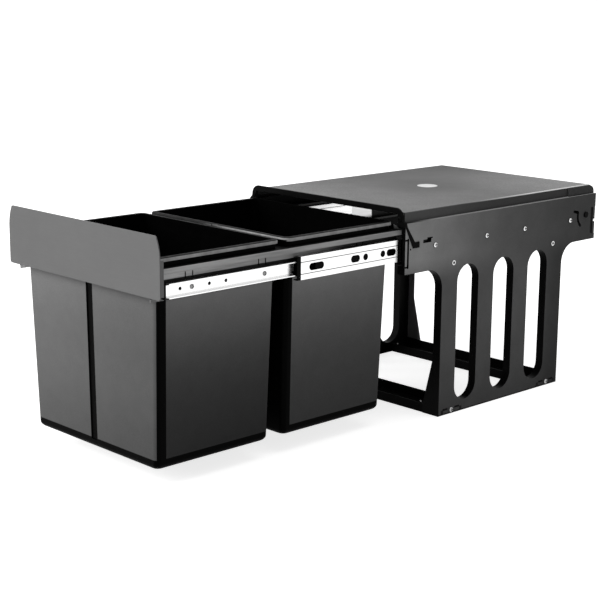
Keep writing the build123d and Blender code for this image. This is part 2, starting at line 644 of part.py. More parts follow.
# Front arch, hooked into the panels and screwed to their front tabs
with BuildPart() as front_arch:
    with BuildSketch(at_y(FRAME_FRONT)) as arch_face:
        outline(
            [
                (-ARCH_HALF, ARCH_FOOT_Z),
                (-ARCH_HALF, BAND_TOP),
                (-ARCH_CROWN, BAND_TOP + ARCH_SLANT),
                (-ARCH_CROWN, ARCH_TOP),
                (ARCH_CROWN, ARCH_TOP),
                (ARCH_CROWN, BAND_TOP + ARCH_SLANT),
                (ARCH_HALF, BAND_TOP),
                (ARCH_HALF, ARCH_FOOT_Z),
                (FLANGE_X, ARCH_FOOT_Z),
                (FLANGE_X, ARCH_TOP - ARCH_BAR_HEIGHT),
                (-FLANGE_X, ARCH_TOP - ARCH_BAR_HEIGHT),
                (-FLANGE_X, ARCH_FOOT_Z),
            ]
        )
        crown = [v for v in arch_face.vertices() if abs(v.Y - ARCH_TOP) < PICK_TOLERANCE]
        fillet(crown, ARCH_CORNER)
    extrude(amount=ARCH_DEPTH)
    fillet(front_arch.faces().sort_by(Axis.Y)[0].outer_wire().edges(), BEND_RADIUS)
    for side in SIDES.values():
        with BuildSketch(Plane.YZ.offset(side * HALF_WIDTH)):
            outline(
                [
                    (FRAME_FRONT, BAND_TOP),
                    (FRAME_FRONT, ARCH_FOOT_Z),
                    (HOOK_FRONT, ARCH_HOOK_Z - ARCH_HOOK_HEIGHT / 2),
                    (HOOK_REAR, ARCH_HOOK_Z - ARCH_HOOK_HEIGHT / 2),
                    (HOOK_REAR, ARCH_HOOK_Z + ARCH_HOOK_HEIGHT / 2),
                    (HOOK_FRONT + ARCH_STRUT_WIDTH, ARCH_HOOK_Z + ARCH_HOOK_HEIGHT / 2),
                    (FRAME_FRONT + ARCH_STRUT_WIDTH, ARCH_FOOT_Z),
                    (FRAME_FRONT + ARCH_STRUT, BAND_TOP),
                ]
            )
        extrude(amount=side * ARCH_STRUT)
        with BuildSketch(Plane.YZ.offset(side * HALF_WIDTH)):
            with Locations((ARCH_HOOK_Y, ARCH_HOOK_Z)):
                Rectangle(ARCH_HOOK_LENGTH, ARCH_HOOK_HEIGHT)
        extrude(amount=-side * 2 * SHEET)
    with BuildSketch(at_y(FRAME_FRONT)):
        with Locations(*ARCH_SCREW_PLACES):
            Circle(SCREW_HOLE)
    extrude(amount=ARCH_DEPTH, mode=Mode.SUBTRACT)
save(front_arch, "front_arch")

with BuildPart() as arch_screws:
    with BuildSketch(at_y(FRAME_FRONT + 2 * SHEET)):
        with Locations(*ARCH_SCREW_PLACES):
            Circle(SCREW_SHANK / 2)
    extrude(amount=ARCH_DEPTH + 2 * SHEET)
    with BuildSketch(at_y(FRAME_FRONT - ARCH_DEPTH)):
        with Locations(*ARCH_SCREW_PLACES):
            Circle(SCREW_HEAD / 2)
    extrude(amount=SCREW_HEAD_HEIGHT)
save(arch_screws, "arch_screws")

# Lid: a shallow tray turned over, open at the front
RIVET_PLACES = [(RIVET_MID_Y + sign * RIVET_SPREAD / 2, ARM_MID_Z) for sign in (-1, 1)]
RIVET_HOLE = RIVET_DIAMETER / 2 + SCREW_CLEARANCE


def lid_outline(inset, overrun):
    """Side view of the lid, drawn in by inset at its top and rear and run past its open edges."""
    outline(
        [
            (LID_FRONT - overrun, BAND_TOP - overrun),
            (LID_FRONT - overrun, LID_TOP - inset),
            (LID_REAR - inset, LID_TOP - inset),
            (LID_REAR - inset, BAND_TOP - overrun),
        ]
    )


with BuildPart() as lid_panel:
    with BuildSketch(Plane.YZ) as lid_side:
        lid_outline(0, 0)
        fillet(lid_side.vertices().group_by(Axis.Y)[-1].sort_by(Axis.X)[-1], LID_REAR_RADIUS)
    extrude(amount=LID_WIDTH / 2, both=True)
    fillet(lid_panel.edges().filter_by(Axis.Y).group_by(Axis.Z)[-1], LID_EDGE_RADIUS)
    with BuildSketch(Plane.YZ) as lid_hollow:
        lid_outline(LID_SHEET, LID_SHEET)
        fillet(lid_hollow.vertices().group_by(Axis.Y)[-1].sort_by(Axis.X)[-1], LID_REAR_RADIUS - LID_SHEET)
    extrude(amount=LID_WIDTH / 2 - LID_SHEET, both=True, mode=Mode.SUBTRACT)
    for side in SIDES.values():
        across(side, ARM_X - 2 * LID_SHEET, RIVET_PLACES, RIVET_HOLE, 3 * LID_SHEET, Mode.SUBTRACT)
save(lid_panel, "lid_panel")

with BuildPart() as lid_badge:
    with Locations((0, (LID_FRONT + LID_REAR) / 2, LID_TOP + BADGE_THICKNESS / 2)):
        Cylinder(BADGE_DIAMETER / 2, BADGE_THICKNESS)
save(lid_badge, "lid_badge")

# Lid arms, which reach down behind the rails to the pivots
STOP_PLACE = [(STOP_Y, STOP_Z)]
PIVOT_PLACE = [(PIVOT_Y, PIVOT_Z)]
ARM_STRIP_BOTTOM = BAND_TOP - ARM_STRIP_DROP
ARM_STRIP_TOP = LID_TOP - LID_EDGE_RADIUS
for side_name, side in SIDES.items():
    with BuildPart() as lid_arm:
        with BuildSketch(Plane.YZ.offset(side * ARM_X)) as arm_side:
            outline(
                [
                    (ARM_FRONT, ARM_STRIP_BOTTOM),
                    (ARM_FRONT, ARM_STRIP_TOP),
                    (LID_REAR, ARM_STRIP_TOP),
                    (LID_REAR, ARM_STRIP_BOTTOM),
                    (PIVOT_Y + ARM_BOSS, PIVOT_Z),
                    (PIVOT_Y - ARM_BOSS, PIVOT_Z),
                    (LID_REAR - ARM_NECK, ARM_STRIP_BOTTOM),
                ]
            )
            rear_corner = arm_side.vertices().group_by(Axis.Y)[-1].sort_by(Axis.X)[-1]
            fillet(rear_corner, LID_REAR_RADIUS - LID_EDGE_RADIUS)
            with Locations(*PIVOT_PLACE):
                Circle(ARM_BOSS)
            with Locations(((PIVOT_Y + STOP_Y) / 2, (PIVOT_Z + STOP_Z) / 2)):
                SlotCenterToCenter(STOP_RADIUS, 2 * STOP_DIAMETER, rotation=STOP_ANGLE)
            with Locations(*PIVOT_PLACE):
                Circle(PIVOT_DIAMETER / 2 + PIVOT_CLEARANCE, mode=Mode.SUBTRACT)
            with Locations(*STOP_PLACE):
                Circle(STOP_DIAMETER / 2 + PIVOT_CLEARANCE, mode=Mode.SUBTRACT)
            with Locations(*RIVET_PLACES):
                Circle(RIVET_HOLE, mode=Mode.SUBTRACT)
        extrude(amount=side * ARM_THICKNESS)
    save(lid_arm, f"lid_arm_{side_name}")

with BuildPart() as lid_arm_rivets:
    for side in SIDES.values():
        inner_x = ARM_X - LID_SHEET
        across(side, inner_x, RIVET_PLACES, RIVET_DIAMETER / 2, LID_SHEET + ARM_THICKNESS)
        across(side, inner_x - RIVET_HEAD_HEIGHT, RIVET_PLACES, RIVET_HEAD / 2, RIVET_HEAD_HEIGHT)
save(lid_arm_rivets, "lid_arm_rivets")

with BuildPart() as lid_stop_pins:
    for side in SIDES.values():
        across(side, ARM_X, STOP_PLACE, STOP_DIAMETER / 2, HALF_WIDTH - ARM_X + STOP_CLEARANCE)
save(lid_stop_pins, "lid_stop_pins")

with BuildPart() as lid_pivot_pins:
    for side in SIDES.values():
        across(side, ARM_X, PIVOT_PLACE, PIVOT_DIAMETER / 2, HALF_WIDTH - ARM_X)
        across(side, HALF_WIDTH, PIVOT_PLACE, PIVOT_HEAD / 2, SCREW_HEAD_HEIGHT)
save(lid_pivot_pins, "lid_pivot_pins")

with BuildPart() as pivot_washers:
    for side in SIDES.values():
        washer_x = ARM_X + ARM_THICKNESS + WASHER_GAP
        across(side, washer_x, PIVOT_PLACE, WASHER_DIAMETER / 2, WEB_X - washer_x)
        bore = PIVOT_DIAMETER / 2 + SCREW_CLEARANCE
        across(side, washer_x, PIVOT_PLACE, bore, WEB_X - washer_x, Mode.SUBTRACT)
save(pivot_washers, "pivot_washers")

# Telescopic slides
MID_WEB_X = RAIL_X - MID_START - RAIL_SHEET
INNER_WEB_X = RAIL_X - SLIDE_THICKNESS
INNER_SCREWS = [(INNER_FRONT + place, RAIL_Z) for place in INNER_SCREW_PLACES]
INNER_SCREWS.append((INNER_FRONT + RAIL_LENGTH - INNER_SCREW_REAR_INSET, RAIL_Z))
INNER_HOLES = [(INNER_FRONT + place, RAIL_Z) for place in INNER_HOLE_PLACES]
MID_HOLES = [(MID_FRONT + place, RAIL_Z) for place in MID_HOLE_PLACES]
for side_name, side in SIDES.items():
    with BuildPart() as outer_rail:
        with BuildSketch(at_y(RAIL_FRONT)):
            slide_channel(side, 0, OUTER_END, OUTER_HEIGHT, OUTER_LIP)
        extrude(amount=-RAIL_LENGTH)
        across(side, RAIL_X - RAIL_SHEET, RAIL_SCREW_PLACES, SCREW_HOLE, RAIL_SHEET, Mode.SUBTRACT)
    save(outer_rail, f"outer_rail_{side_name}")

    with BuildPart() as mid_rail:
        with BuildSketch(at_y(MID_FRONT)):
            slide_channel(side, MID_START, MID_END, MID_HEIGHT)
        extrude(amount=-MID_LENGTH)
        across(side, MID_WEB_X, MID_HOLES, MID_HOLE_DIAMETER / 2, RAIL_SHEET, Mode.SUBTRACT)
        with BuildSketch(Plane.YZ.offset(side * MID_WEB_X)):
            for place, length in MID_SLOT_PLACES:
                with Locations((MID_FRONT + place, RAIL_Z)):
                    SlotOverall(length, MID_SLOT_HEIGHT)
        extrude(amount=side * RAIL_SHEET, mode=Mode.SUBTRACT)
        with BuildSketch(at_y(MID_FRONT)):
            for line in (-MID_LINE_SPREAD / 2, MID_LINE_SPREAD / 2):
                edges = (line - MID_LINE_WIDTH / 2, line + MID_LINE_WIDTH / 2)
                slide_bar(side, MID_START, MID_START + MID_LINE_DEPTH, *edges)
        extrude(amount=-MID_LENGTH, mode=Mode.SUBTRACT)
    save(mid_rail, f"mid_rail_{side_name}")

    with BuildPart() as mid_bumper:
        with BuildSketch(at_y(MID_FRONT)):
            slide_channel(side, MID_START, MID_END - RAIL_SHEET, MID_HEIGHT)
        extrude(amount=BUMPER_LENGTH)
    save(mid_bumper, f"mid_bumper_{side_name}")

    with BuildPart() as inner_rail:
        with BuildSketch(at_y(INNER_FRONT)):
            slide_channel(side, INNER_WEB, INNER_START, INNER_HEIGHT)
        extrude(amount=-RAIL_LENGTH)
        across(side, INNER_WEB_X, INNER_SCREWS, SCREW_HOLE, RAIL_SHEET, Mode.SUBTRACT)
        across(side, INNER_WEB_X, INNER_HOLES, RAIL_HOLE_DIAMETER / 2, RAIL_SHEET, Mode.SUBTRACT)
    save(inner_rail, f"inner_rail_{side_name}")

    for row_name, row in (("outer", OUTER_ROW), ("inner", INNER_ROW)):
        arm_end = row["depth"] + row["radius"] + BALL_POCKET_CLEARANCE + CAGE_SHEET
        places = ball_places(side, row)
        with BuildPart() as ball_cage:
            with BuildSketch(at_y(row["middle"] - CAGE_LENGTH / 2)):
                slide_bar(side, row["start"], row["start"] + CAGE_SHEET, -row["height"], row["height"])
                for sign in (-1, 1):
                    middle = sign * row["height"]
                    slide_bar(side, row["start"], arm_end, middle - CAGE_ARM / 2, middle + CAGE_ARM / 2)
            extrude(amount=-CAGE_LENGTH)
            with Locations(*places):
                Cylinder(row["radius"] + BALL_POCKET_CLEARANCE, 2 * CAGE_ARM, mode=Mode.SUBTRACT)
        save(ball_cage, f"ball_cage_{row_name}_{side_name}")

        with BuildPart() as balls:
            with Locations(*places):
                Sphere(row["radius"])
        save(balls, f"balls_{row_name}_{side_name}")

# Carrier: two long sides with an outward lip, and three bars across
CARRIER_LENGTH = CARRIER_REAR - PLATE_BACK
STUD_MID_Z = (CARRIER_TOP - CARRIER_SKIN + PLATE_BOTTOM) / 2
STUD_HOLE = STUD_DIAMETER / 2 + SCREW_CLEARANCE
SLIT_BOTTOM = RAIL_Z + INNER_HEIGHT / 2 + CARRIER_RIB
SLIT_TOP = CARRIER_LIP_Z - FLANGE_GAP
CARRIER_BARS = (
    (PLATE_BACK, CARRIER_FRONT_BAR),
    (FRONT_OPENING_Y + OPENING_LENGTH, CARRIER_MID_BAR),
    (REAR_OPENING_Y + OPENING_LENGTH, CARRIER_REAR_BAR),
)
with BuildPart() as carrier_frame:
    with BuildSketch(at_y(PLATE_BACK)):
        for side in SIDES.values():
            outer_x = CARRIER_IN_X + CARRIER_WALL
            outline(
                [
                    (side * CARRIER_IN_X, CARRIER_WALL_Z),
                    (side * CARRIER_IN_X, CARRIER_TOP),
                    (side * CARRIER_LIP_X, CARRIER_TOP),
                    (side * CARRIER_LIP_X, CARRIER_LIP_Z),
                    (side * outer_x, CARRIER_LIP_Z),
                    (side * outer_x, CARRIER_WALL_Z),
                ]
            )
    extrude(amount=-CARRIER_LENGTH)
    top_edges = carrier_frame.edges().filter_by(Axis.Y).group_by(Axis.Z)[-1].sort_by(Axis.X)
    fillet([top_edges[0], top_edges[-1]], CARRIER_EDGE_RADIUS)
    for start, length in CARRIER_BARS:
        end = start + length
        rib_z = CARRIER_TOP - CARRIER_RIB_DEPTH
        box_between((-CARRIER_IN_X, start, CARRIER_TOP - CARRIER_SKIN), (CARRIER_IN_X, end, CARRIER_TOP))
        box_between((-CARRIER_IN_X, start, rib_z), (CARRIER_IN_X, start + CARRIER_RIB, CARRIER_TOP))
        box_between((-CARRIER_IN_X, end - CARRIER_RIB, rib_z), (CARRIER_IN_X, end, CARRIER_TOP))
    # deeper front rib, which the plate is bolted to
    box_between(
        (-CARRIER_IN_X, PLATE_BACK, PLATE_BOTTOM), (CARRIER_IN_X, PLATE_BACK + CARRIER_RIB, CARRIER_TOP)
    )
    with BuildSketch(at_y(PLATE_BACK)):
        with Locations((0, STUD_MID_Z)):
            with GridLocations(STUD_SPREAD_X, STUD_SPACING, 2, 2):
                Circle(STUD_HOLE)
    extrude(amount=-CARRIER_RIB, mode=Mode.SUBTRACT)
    # screw holes and pairs of clip slits in the side walls
    for side in SIDES.values():
        across(side, CARRIER_IN_X, INNER_SCREWS, SCREW_HOLE, CARRIER_WALL, Mode.SUBTRACT)
        with BuildSketch(Plane.YZ.offset(side * CARRIER_IN_X)):
            for place in CLIP_PLACES:
                with Locations((PLATE_BACK + place, (SLIT_BOTTOM + SLIT_TOP) / 2)):
                    with GridLocations(CLIP_SLIT_GAP, 0, 2, 1):
                        Rectangle(CLIP_SLIT_WIDTH, SLIT_TOP - SLIT_BOTTOM)
        extrude(amount=side * CARRIER_WALL, mode=Mode.SUBTRACT)
save(carrier_frame, "carrier_frame")

with BuildPart() as inner_rail_screws:
    for side in SIDES.values():
        across(side, CARRIER_IN_X, INNER_SCREWS, SCREW_SHANK / 2, CARRIER_WALL + RAIL_SHEET)
        across(side, RAIL_X - INNER_WEB, INNER_SCREWS, INNER_SCREW_HEAD / 2, INNER_SCREW_HEAD_HEIGHT)
save(inner_rail_screws, "inner_rail_screws")

# Front plate with weld studs on its back
PLATE_HALF = PLATE_WIDTH / 2
with BuildPart() as front_plate:
    with BuildSketch(at_y(PLATE_BACK)) as plate_face:
        with BuildLine():
            Line((PLATE_HALF, PLATE_BOTTOM), (PLATE_HALF, PLATE_SHOULDER))
            TangentArc((PLATE_HALF, PLATE_SHOULDER), (PLATE_HALF - PLATE_TAPER, PLATE_TOP), tangent=(0, 1))
            Line((PLATE_HALF - PLATE_TAPER, PLATE_TOP), (PLATE_TAPER - PLATE_HALF, PLATE_TOP))
            TangentArc((-PLATE_HALF, PLATE_SHOULDER), (PLATE_TAPER - PLATE_HALF, PLATE_TOP), tangent=(0, 1))
            Line((-PLATE_HALF, PLATE_SHOULDER), (-PLATE_HALF, PLATE_BOTTOM))
            Line((-PLATE_HALF, PLATE_BOTTOM), (PLATE_HALF, PLATE_BOTTOM))
        make_face()
        corners = plate_face.vertices().group_by(Axis.Y)
        fillet([*corners[0], *corners[-1]], PLATE_CORNER)
    extrude(amount=PLATE_SHEET)
    for side in SIDES.values():
        edge = sorted((side * PLATE_HALF, side * (PLATE_HALF - PLATE_SHEET)))
        box_between(
            (edge[0], PLATE_BACK - PLATE_SHEET, PLATE_BOTTOM + PLATE_CORNER),
            (edge[1], PLATE_BACK + PLATE_RETURN, PLATE_SHOULDER),
        )
    with BuildSketch(at_y(PLATE_BACK)):
        with Locations((0, STUD_MID_Z)):
            with GridLocations(STUD_SPREAD_X, STUD_SPACING, 2, 2):
                Circle(STUD_DIAMETER / 2)
    extrude(amount=-STUD_LENGTH)
save(front_plate, "front_plate")

with BuildPart() as plate_nuts:
    with BuildSketch(at_y(PLATE_BACK + CARRIER_RIB)):
        with Locations((0, STUD_MID_Z)):
            with GridLocations(STUD_SPREAD_X, STUD_SPACING, 2, 2):
                RegularPolygon(NUT_WIDTH / 2, 6, major_radius=False)
                Circle(STUD_HOLE, mode=Mode.SUBTRACT)
    extrude(amount=-NUT_HEIGHT)
save(plate_nuts, "plate_nuts")


# Bins: one tub and its rim, made about their own centre line and set twice into the carrier
def tub_section(side_grow, end_grow):
    """Rounded outline of a bin at its seat, grown at its sides and at its ends."""
    corner = BIN_CORNER + max(min(side_grow, end_grow), 0)
    RectangleRounded(2 * (BIN_HALF_WIDTH + side_grow), BIN_LENGTH + 2 * end_grow, corner)


def base_levels(wall):
    """Heights and growths of the sections that round a tub's base, drawn in by wall, from the floor up."""
    radius = BIN_BASE_RADIUS - wall
    levels = []
    for step in range(BIN_BASE_STEPS + 1):
        angle = math.radians(90 * (1 - step / BIN_BASE_STEPS))
        rise = wall + radius * (1 - math.sin(angle))
        draw = wall + radius * (1 - math.cos(angle))
        left = 1 - rise / BIN_DEPTH
        levels.append((BIN_FLOOR + rise, -BIN_SIDE_TAPER * left - draw, -BIN_END_TAPER * left - draw))
    return levels


seat_plane = Plane.XY.offset(CARRIER_TOP)
with BuildPart() as bin_space:
    for height, side_grow, end_grow in base_levels(BIN_WALL):
        with BuildSketch(Plane.XY.offset(height)):
            tub_section(side_grow, end_grow)
    loft()
    with BuildSketch(Plane.XY.offset(height)):
        tub_section(side_grow, end_grow)
    with BuildSketch(seat_plane):
        tub_section(-BIN_WALL, -BIN_WALL)
    loft()

with BuildPart() as bin_tub:
    for height, side_grow, end_grow in base_levels(0):
        with BuildSketch(Plane.XY.offset(height)):
            tub_section(side_grow, end_grow)
    loft()
    with BuildSketch(Plane.XY.offset(height)):
        tub_section(side_grow, end_grow)
    with BuildSketch(seat_plane):
        tub_section(0, 0)
    loft()
    add(bin_space.part, mode=Mode.SUBTRACT)
    # groove down the middle of the front and the back
    groove_z = BIN_FLOOR + GROOVE_START
    seat_y = BIN_LENGTH / 2
    foot_y = seat_y - BIN_END_TAPER * (CARRIER_TOP - groove_z) / BIN_DEPTH
    for end in (-1, 1):
        with BuildSketch(Plane.YZ):
            outline(
                [
                    (end * (foot_y - GROOVE_DEPTH), groove_z),
                    (end * (seat_y + GROOVE_DEPTH), groove_z),
                    (end * (seat_y + GROOVE_DEPTH), CARRIER_TOP),
                    (end * (seat_y - GROOVE_DEPTH), CARRIER_TOP),
                ]
            )
        extrude(amount=GROOVE_WIDTH / 2, both=True, mode=Mode.SUBTRACT)

with BuildPart() as bin_rim:
    with BuildSketch(seat_plane):
        tub_section(COLLAR_STEP, COLLAR_STEP)
    extrude(amount=COLLAR_HEIGHT)
    with BuildSketch(seat_plane.offset(COLLAR_HEIGHT)):
        tub_section(RIM_SIDE_OVERHANG, RIM_END_OVERHANG)
    extrude(amount=RIM_HEIGHT)
    fillet(bin_rim.faces().sort_by(Axis.Z)[-1].outer_wire().edges(), RIM_RADIUS)
    with BuildSketch(seat_plane):
        tub_section(-BIN_WALL, -BIN_WALL)
    extrude(amount=COLLAR_HEIGHT + RIM_HEIGHT, mode=Mode.SUBTRACT)
    # notch in the rim over each groove
    with BuildSketch(seat_plane.offset(COLLAR_HEIGHT)):
        with GridLocations(0, BIN_LENGTH + 2 * RIM_END_OVERHANG, 1, 2):
            Rectangle(GROOVE_WIDTH, 2 * GROOVE_DEPTH)
    extrude(amount=RIM_HEIGHT, mode=Mode.SUBTRACT)

for end_name, bin_y in BIN_CENTRES.items():
    for piece_name, piece in (("bin", bin_tub), ("rim", bin_rim)):
        with BuildPart() as piece_in_place:
            with Locations((0, bin_y, 0)):
                add(piece.part)
        save(piece_in_place, f"{piece_name}_{end_name}")
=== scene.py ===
"""Looks of the pull-out twin waste bin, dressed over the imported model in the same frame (metres)."""

import json
import math
from collections import namedtuple

import bmesh
import bpy
from mathutils import Matrix, Vector


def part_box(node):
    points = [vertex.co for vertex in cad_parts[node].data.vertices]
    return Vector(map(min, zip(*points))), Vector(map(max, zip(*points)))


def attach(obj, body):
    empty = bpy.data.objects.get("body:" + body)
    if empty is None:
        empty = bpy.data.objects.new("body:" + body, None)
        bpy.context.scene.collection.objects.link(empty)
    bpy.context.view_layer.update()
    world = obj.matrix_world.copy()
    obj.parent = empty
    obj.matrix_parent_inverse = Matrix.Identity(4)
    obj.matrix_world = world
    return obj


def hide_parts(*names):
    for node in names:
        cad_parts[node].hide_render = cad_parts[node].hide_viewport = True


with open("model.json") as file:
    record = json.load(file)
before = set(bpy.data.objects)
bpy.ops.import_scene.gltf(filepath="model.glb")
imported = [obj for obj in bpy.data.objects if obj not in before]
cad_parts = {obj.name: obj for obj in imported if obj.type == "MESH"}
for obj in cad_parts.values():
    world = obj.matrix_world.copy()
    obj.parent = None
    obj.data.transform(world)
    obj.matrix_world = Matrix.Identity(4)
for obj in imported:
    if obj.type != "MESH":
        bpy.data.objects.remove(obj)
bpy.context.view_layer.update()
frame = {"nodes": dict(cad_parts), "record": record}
NODES = frame["nodes"]
SCENE = bpy.context.scene
MM = 0.001

# Camera, at the photograph's place: pixels are those of a 600 by 600 frame
IMAGE_WIDTH = 600
FOCAL_PIXELS = 1464.14
SENSOR_WIDTH = 36.0
CAMERA_PLACE = (1.61039, -1.82814, 0.67836)
CAMERA_AZIMUTH = 46.31
CAMERA_ELEVATION = 12.62
CAMERA_ROLL = 0.46
CAMERA_REACH = 100.0

# Studio: a floor whose glow grows away from the object, a painted shade round it, pale surroundings and
# two square lamps
FLOOR_HALF = 30.0
FLOOR_TONE = 0.80
FLOOR_CENTRE = (0.0, -0.25, 0.0)
FLOOR_GLOW_REACH = (0.6, 1.8)
FLOOR_GLOW = (0.78, 1.0)
WORLD_LIGHT = 0.28
LAMP_AIM = (0.0, -0.25, 0.2)
Lamp = namedtuple("Lamp", "name place size power")
LAMPS = (Lamp("key", (-1.4, -3.0, 1.8), 2.0, 85.0), Lamp("top", (0.2, 0.3, 3.2), 2.5, 40.0))

# Places on the object, read from the frame
CARRIER_LOW, CARRIER_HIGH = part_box("carrier_frame")
LID_LOW, LID_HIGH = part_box("lid_panel")
PANEL_LOW, PANEL_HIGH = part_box("side_panel_right")
OUTER_LOW, OUTER_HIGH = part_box("outer_rail_right")
MID_LOW, MID_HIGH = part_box("mid_rail_right")
INNER_LOW, INNER_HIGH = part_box("inner_rail_right")
BADGE_LOW, BADGE_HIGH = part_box("lid_badge")
MID_AXIS = (MID_LOW[2] + MID_HIGH[2]) / 2
BAND_TOP = LID_LOW[2]
SCREW_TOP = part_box("rail_screws")[1][0]
PLATE_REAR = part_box("front_plate")[1][1]

# Noise seldom leaves this range, so the whole of a variation is spread over it
CLOUDS = (0.3, 0.7)

# How far the roughness of steel and of black moulding varies each way
ROUGH_SPREAD = 0.05

# Black moulding: tones here and below are linear greys
BLACK = 0.001
BLACK_SPECULAR = 0.012
MOULDING_SPECULAR = 0.015
MOULDING_LIGHTER = 1.8

# A strip across one axis: its middle and half its width
Strip = namedtuple("Strip", "middle half")

# Left and right of the object's middle plane
MIDDLE_FADE = (-1.0 * MM, 1.0 * MM)

# Tubs: how far the walls draw in over their depth, the margins round their flat faces where the painted
# reflection stops and the black plastic shows, and which way along Y an end wall looks
SIDE_TAPER = 10.0 * MM
END_TAPER = 4.5 * MM
SIDE_FACING = (0.70, 0.71)
END_MARGIN = 1.0 * MM
REAR_MARGIN = 3.5 * MM
FRONT_BIN_MARGIN = 17.0 * MM
REAR_BIN_MARGIN = 14.0 * MM
MARGIN_FADE = 0.6 * MM
GROOVE_HALF = 7.2 * MM
GROOVE_FADE = 0.4 * MM
BASE_BAND = 14.0 * MM
BASE_FADE = 1.0 * MM
FRONT_END = -1.0
REAR_END = 1.0

# Tubs: painted reflection, in tones from base to rim, and the share of an end wall's tone that shows
# from left to right
TUB_END_STOPS = ((0.0, 0.103), (0.5, 0.137), (1.0, 0.188))
TUB_END_SHARE = (1.10, 0.82)
FRONT_BIN_STOPS = ((0.0, 0.033), (0.35, 0.048), (0.65, 0.105), (1.0, 0.31))
REAR_BIN_STOPS = ((0.0, 0.062), (0.35, 0.078), (0.65, 0.142), (1.0, 0.34))

# Rims: a painted highlight on the lip from a height above the rim's foot, narrower on the ends and
# painted dark on their left
LIP_START = 7.5 * MM
LIP_FADE = 0.5 * MM
LIP_FACING = (0.35, 0.90)
LIP_HIGHLIGHT_TONES = (0.40, 0.34)
END_FACING = (0.6, 0.8)
END_LIP = 3.6 * MM
END_LIP_FADE = 0.8 * MM
END_LIP_SPAN = (-0.04, 0.06)
END_LIP_HIGHLIGHT_TONES = (0.03, 0.38)

# Front plate: painted shading, as tones from left to right that leave its left a little darker, and its
# grain, which is long across the plate
PLATE_SPAN = (-0.17, 0.17)
PLATE_TONES = (0.139, 0.156)
PLATE_GRAIN = (0.08, 1.0, 1.0)

# Side panels: the painted face is the outermost skin, less strips of painted shade by the rear groove
# and at the tab ends, and its bottom edge
PANEL_SKIN = (PANEL_HIGH[0] - 0.4 * MM, PANEL_HIGH[0] - 0.3 * MM)
PANEL_FACING = (0.75, 0.99)
GROOVE_SHADE_STRIPS = (Strip(PANEL_HIGH[1] - 12.2 * MM, 1.4 * MM), Strip(PANEL_HIGH[1] - 1.5 * MM, 1.8 * MM))
GROOVE_SHADE_HEIGHT = Strip(0.271, 22.0 * MM)
FOOT_MIDDLE = 0.121
TAB_END = Strip(22.0 * MM, 2.4 * MM)
TAB_END_FADE = 1.0 * MM
TAB_HEIGHT = (7.5 * MM, 9.0 * MM)
TAB_SHADE = 0.85
FOOT_EDGE = (1.6 * MM, 3.2 * MM)

# Side panels: painted light and shade, as tones of the band from front to rear, and of the legs from
# foot to band
BAND_STOPS = ((0.0, 0.40), (0.35, 0.152), (0.7, 0.094), (1.0, 0.058))
LEG_STOPS = ((0.0, 0.076), (0.25, 0.104), (0.6, 0.121), (1.0, 0.135))
LEG_TO_BAND = (0.215, 0.262)
REAR_LEG_SPAN = (0.05, 0.15)
REAR_LEG_SHARE = 0.40

# Side panels: painted shade keeps the flanges near black, apart from a painted highlight on the band's
# top ledge and painted light on the far leg's turned flange
FLANGE_SHADE_TONE = 0.0025
LEDGE_FACING = (0.3, 0.6)
LEDGE_HEIGHT = (BAND_TOP - 1.2 * MM, BAND_TOP - 0.8 * MM)
LEDGE_SPAN = (PANEL_LOW[1] + 5.0 * MM, PANEL_LOW[1] + 80.0 * MM)
LEDGE_HIGHLIGHT_TONE = 0.34
TURNED_FACING = (-0.7, -0.5)
TURNED_FLANGE = Strip(0.1508, 1.0 * MM)
TURNED_LIGHT_TONE = 0.30

# Lid: speckled top, with painted light as tones from front to rear on its left and right, and painted
# shade round the disc
TOP_FACING = (0.80, 0.99)
TOP_SKIN = (LID_HIGH[2] - 1.5 * MM, LID_HIGH[2] - 0.5 * MM)
SPECKLE_RANGE = (0.36, 0.64)
SPECKLE_SHARE = (0.72, 1.28)
LID_LEFT_STOPS = ((0.0, 0.20), (0.55, 0.087), (1.0, 0.058))
LID_RIGHT_STOPS = ((0.0, 0.164), (0.5, 0.126), (1.0, 0.225))
LID_SPAN = (LID_LOW[0], LID_HIGH[0] - 35.0 * MM)
BADGE_MIDDLE = (BADGE_LOW[1] + BADGE_HIGH[1]) / 2
BADGE_SHADE_REACH = (0.03, 0.11)
BADGE_SHADE = 0.76

# Lid: painted light and shade on the skirts from front to rear, painted shade inside, painted light on
# the arms' edges, and a painted highlight along its side edges
SKIRT_STOPS = ((0.0, 0.080), (0.5, 0.036), (1.0, 0.024))
SKIRT_FACING = (0.1, 0.2)
LID_INSIDE_SHADE_TONE = 0.012
ARM_EDGE = (LID_HIGH[0] - 0.1 * MM, LID_HIGH[0])
ARM_EDGE_LIGHT_TONE = 0.10
HIGHLIGHT_EDGE = (LID_HIGH[0] - 4.0 * MM, LID_HIGH[0] - 2.5 * MM)
HIGHLIGHT_FACING = (0.3, 0.5)
HIGHLIGHT_HEIGHT = (LID_HIGH[2] - 1.6 * MM, LID_HIGH[2] - 1.2 * MM)
HIGHLIGHT_SPAN = (-0.12, 0.10)
HIGHLIGHT_TONE = 0.80

# Carrier: painted light and shade in lip and wall tones from front to rear, painted shade just above
# the rails, painted light on the feet behind the plate
CARRIER_FACING = (0.30, 0.80)
CARRIER_LIP = (CARRIER_HIGH[2] - 8.0 * MM, CARRIER_HIGH[2] - 7.4 * MM)
CARRIER_LIP_STOPS = ((0.0, 0.42), (0.45, 0.39), (1.0, 0.38))
CARRIER_WALL_STOPS = ((0.0, 0.66), (0.50, 0.44), (0.80, 0.01))
CARRIER_STREAKS = (1.0, 0.06, 1.0)
RAIL_SHADE = (INNER_HIGH[2] + 4.2 * MM, INNER_HIGH[2] + 5.0 * MM)
CARRIER_SHADE_TONE = 0.004
TOE_SPAN = (PLATE_REAR + 14.0 * MM, PLATE_REAR + 15.0 * MM)
TOE_HEIGHT = (0.266, 0.267)
TOE_LIGHT_TONES = (0.95, 0.21)
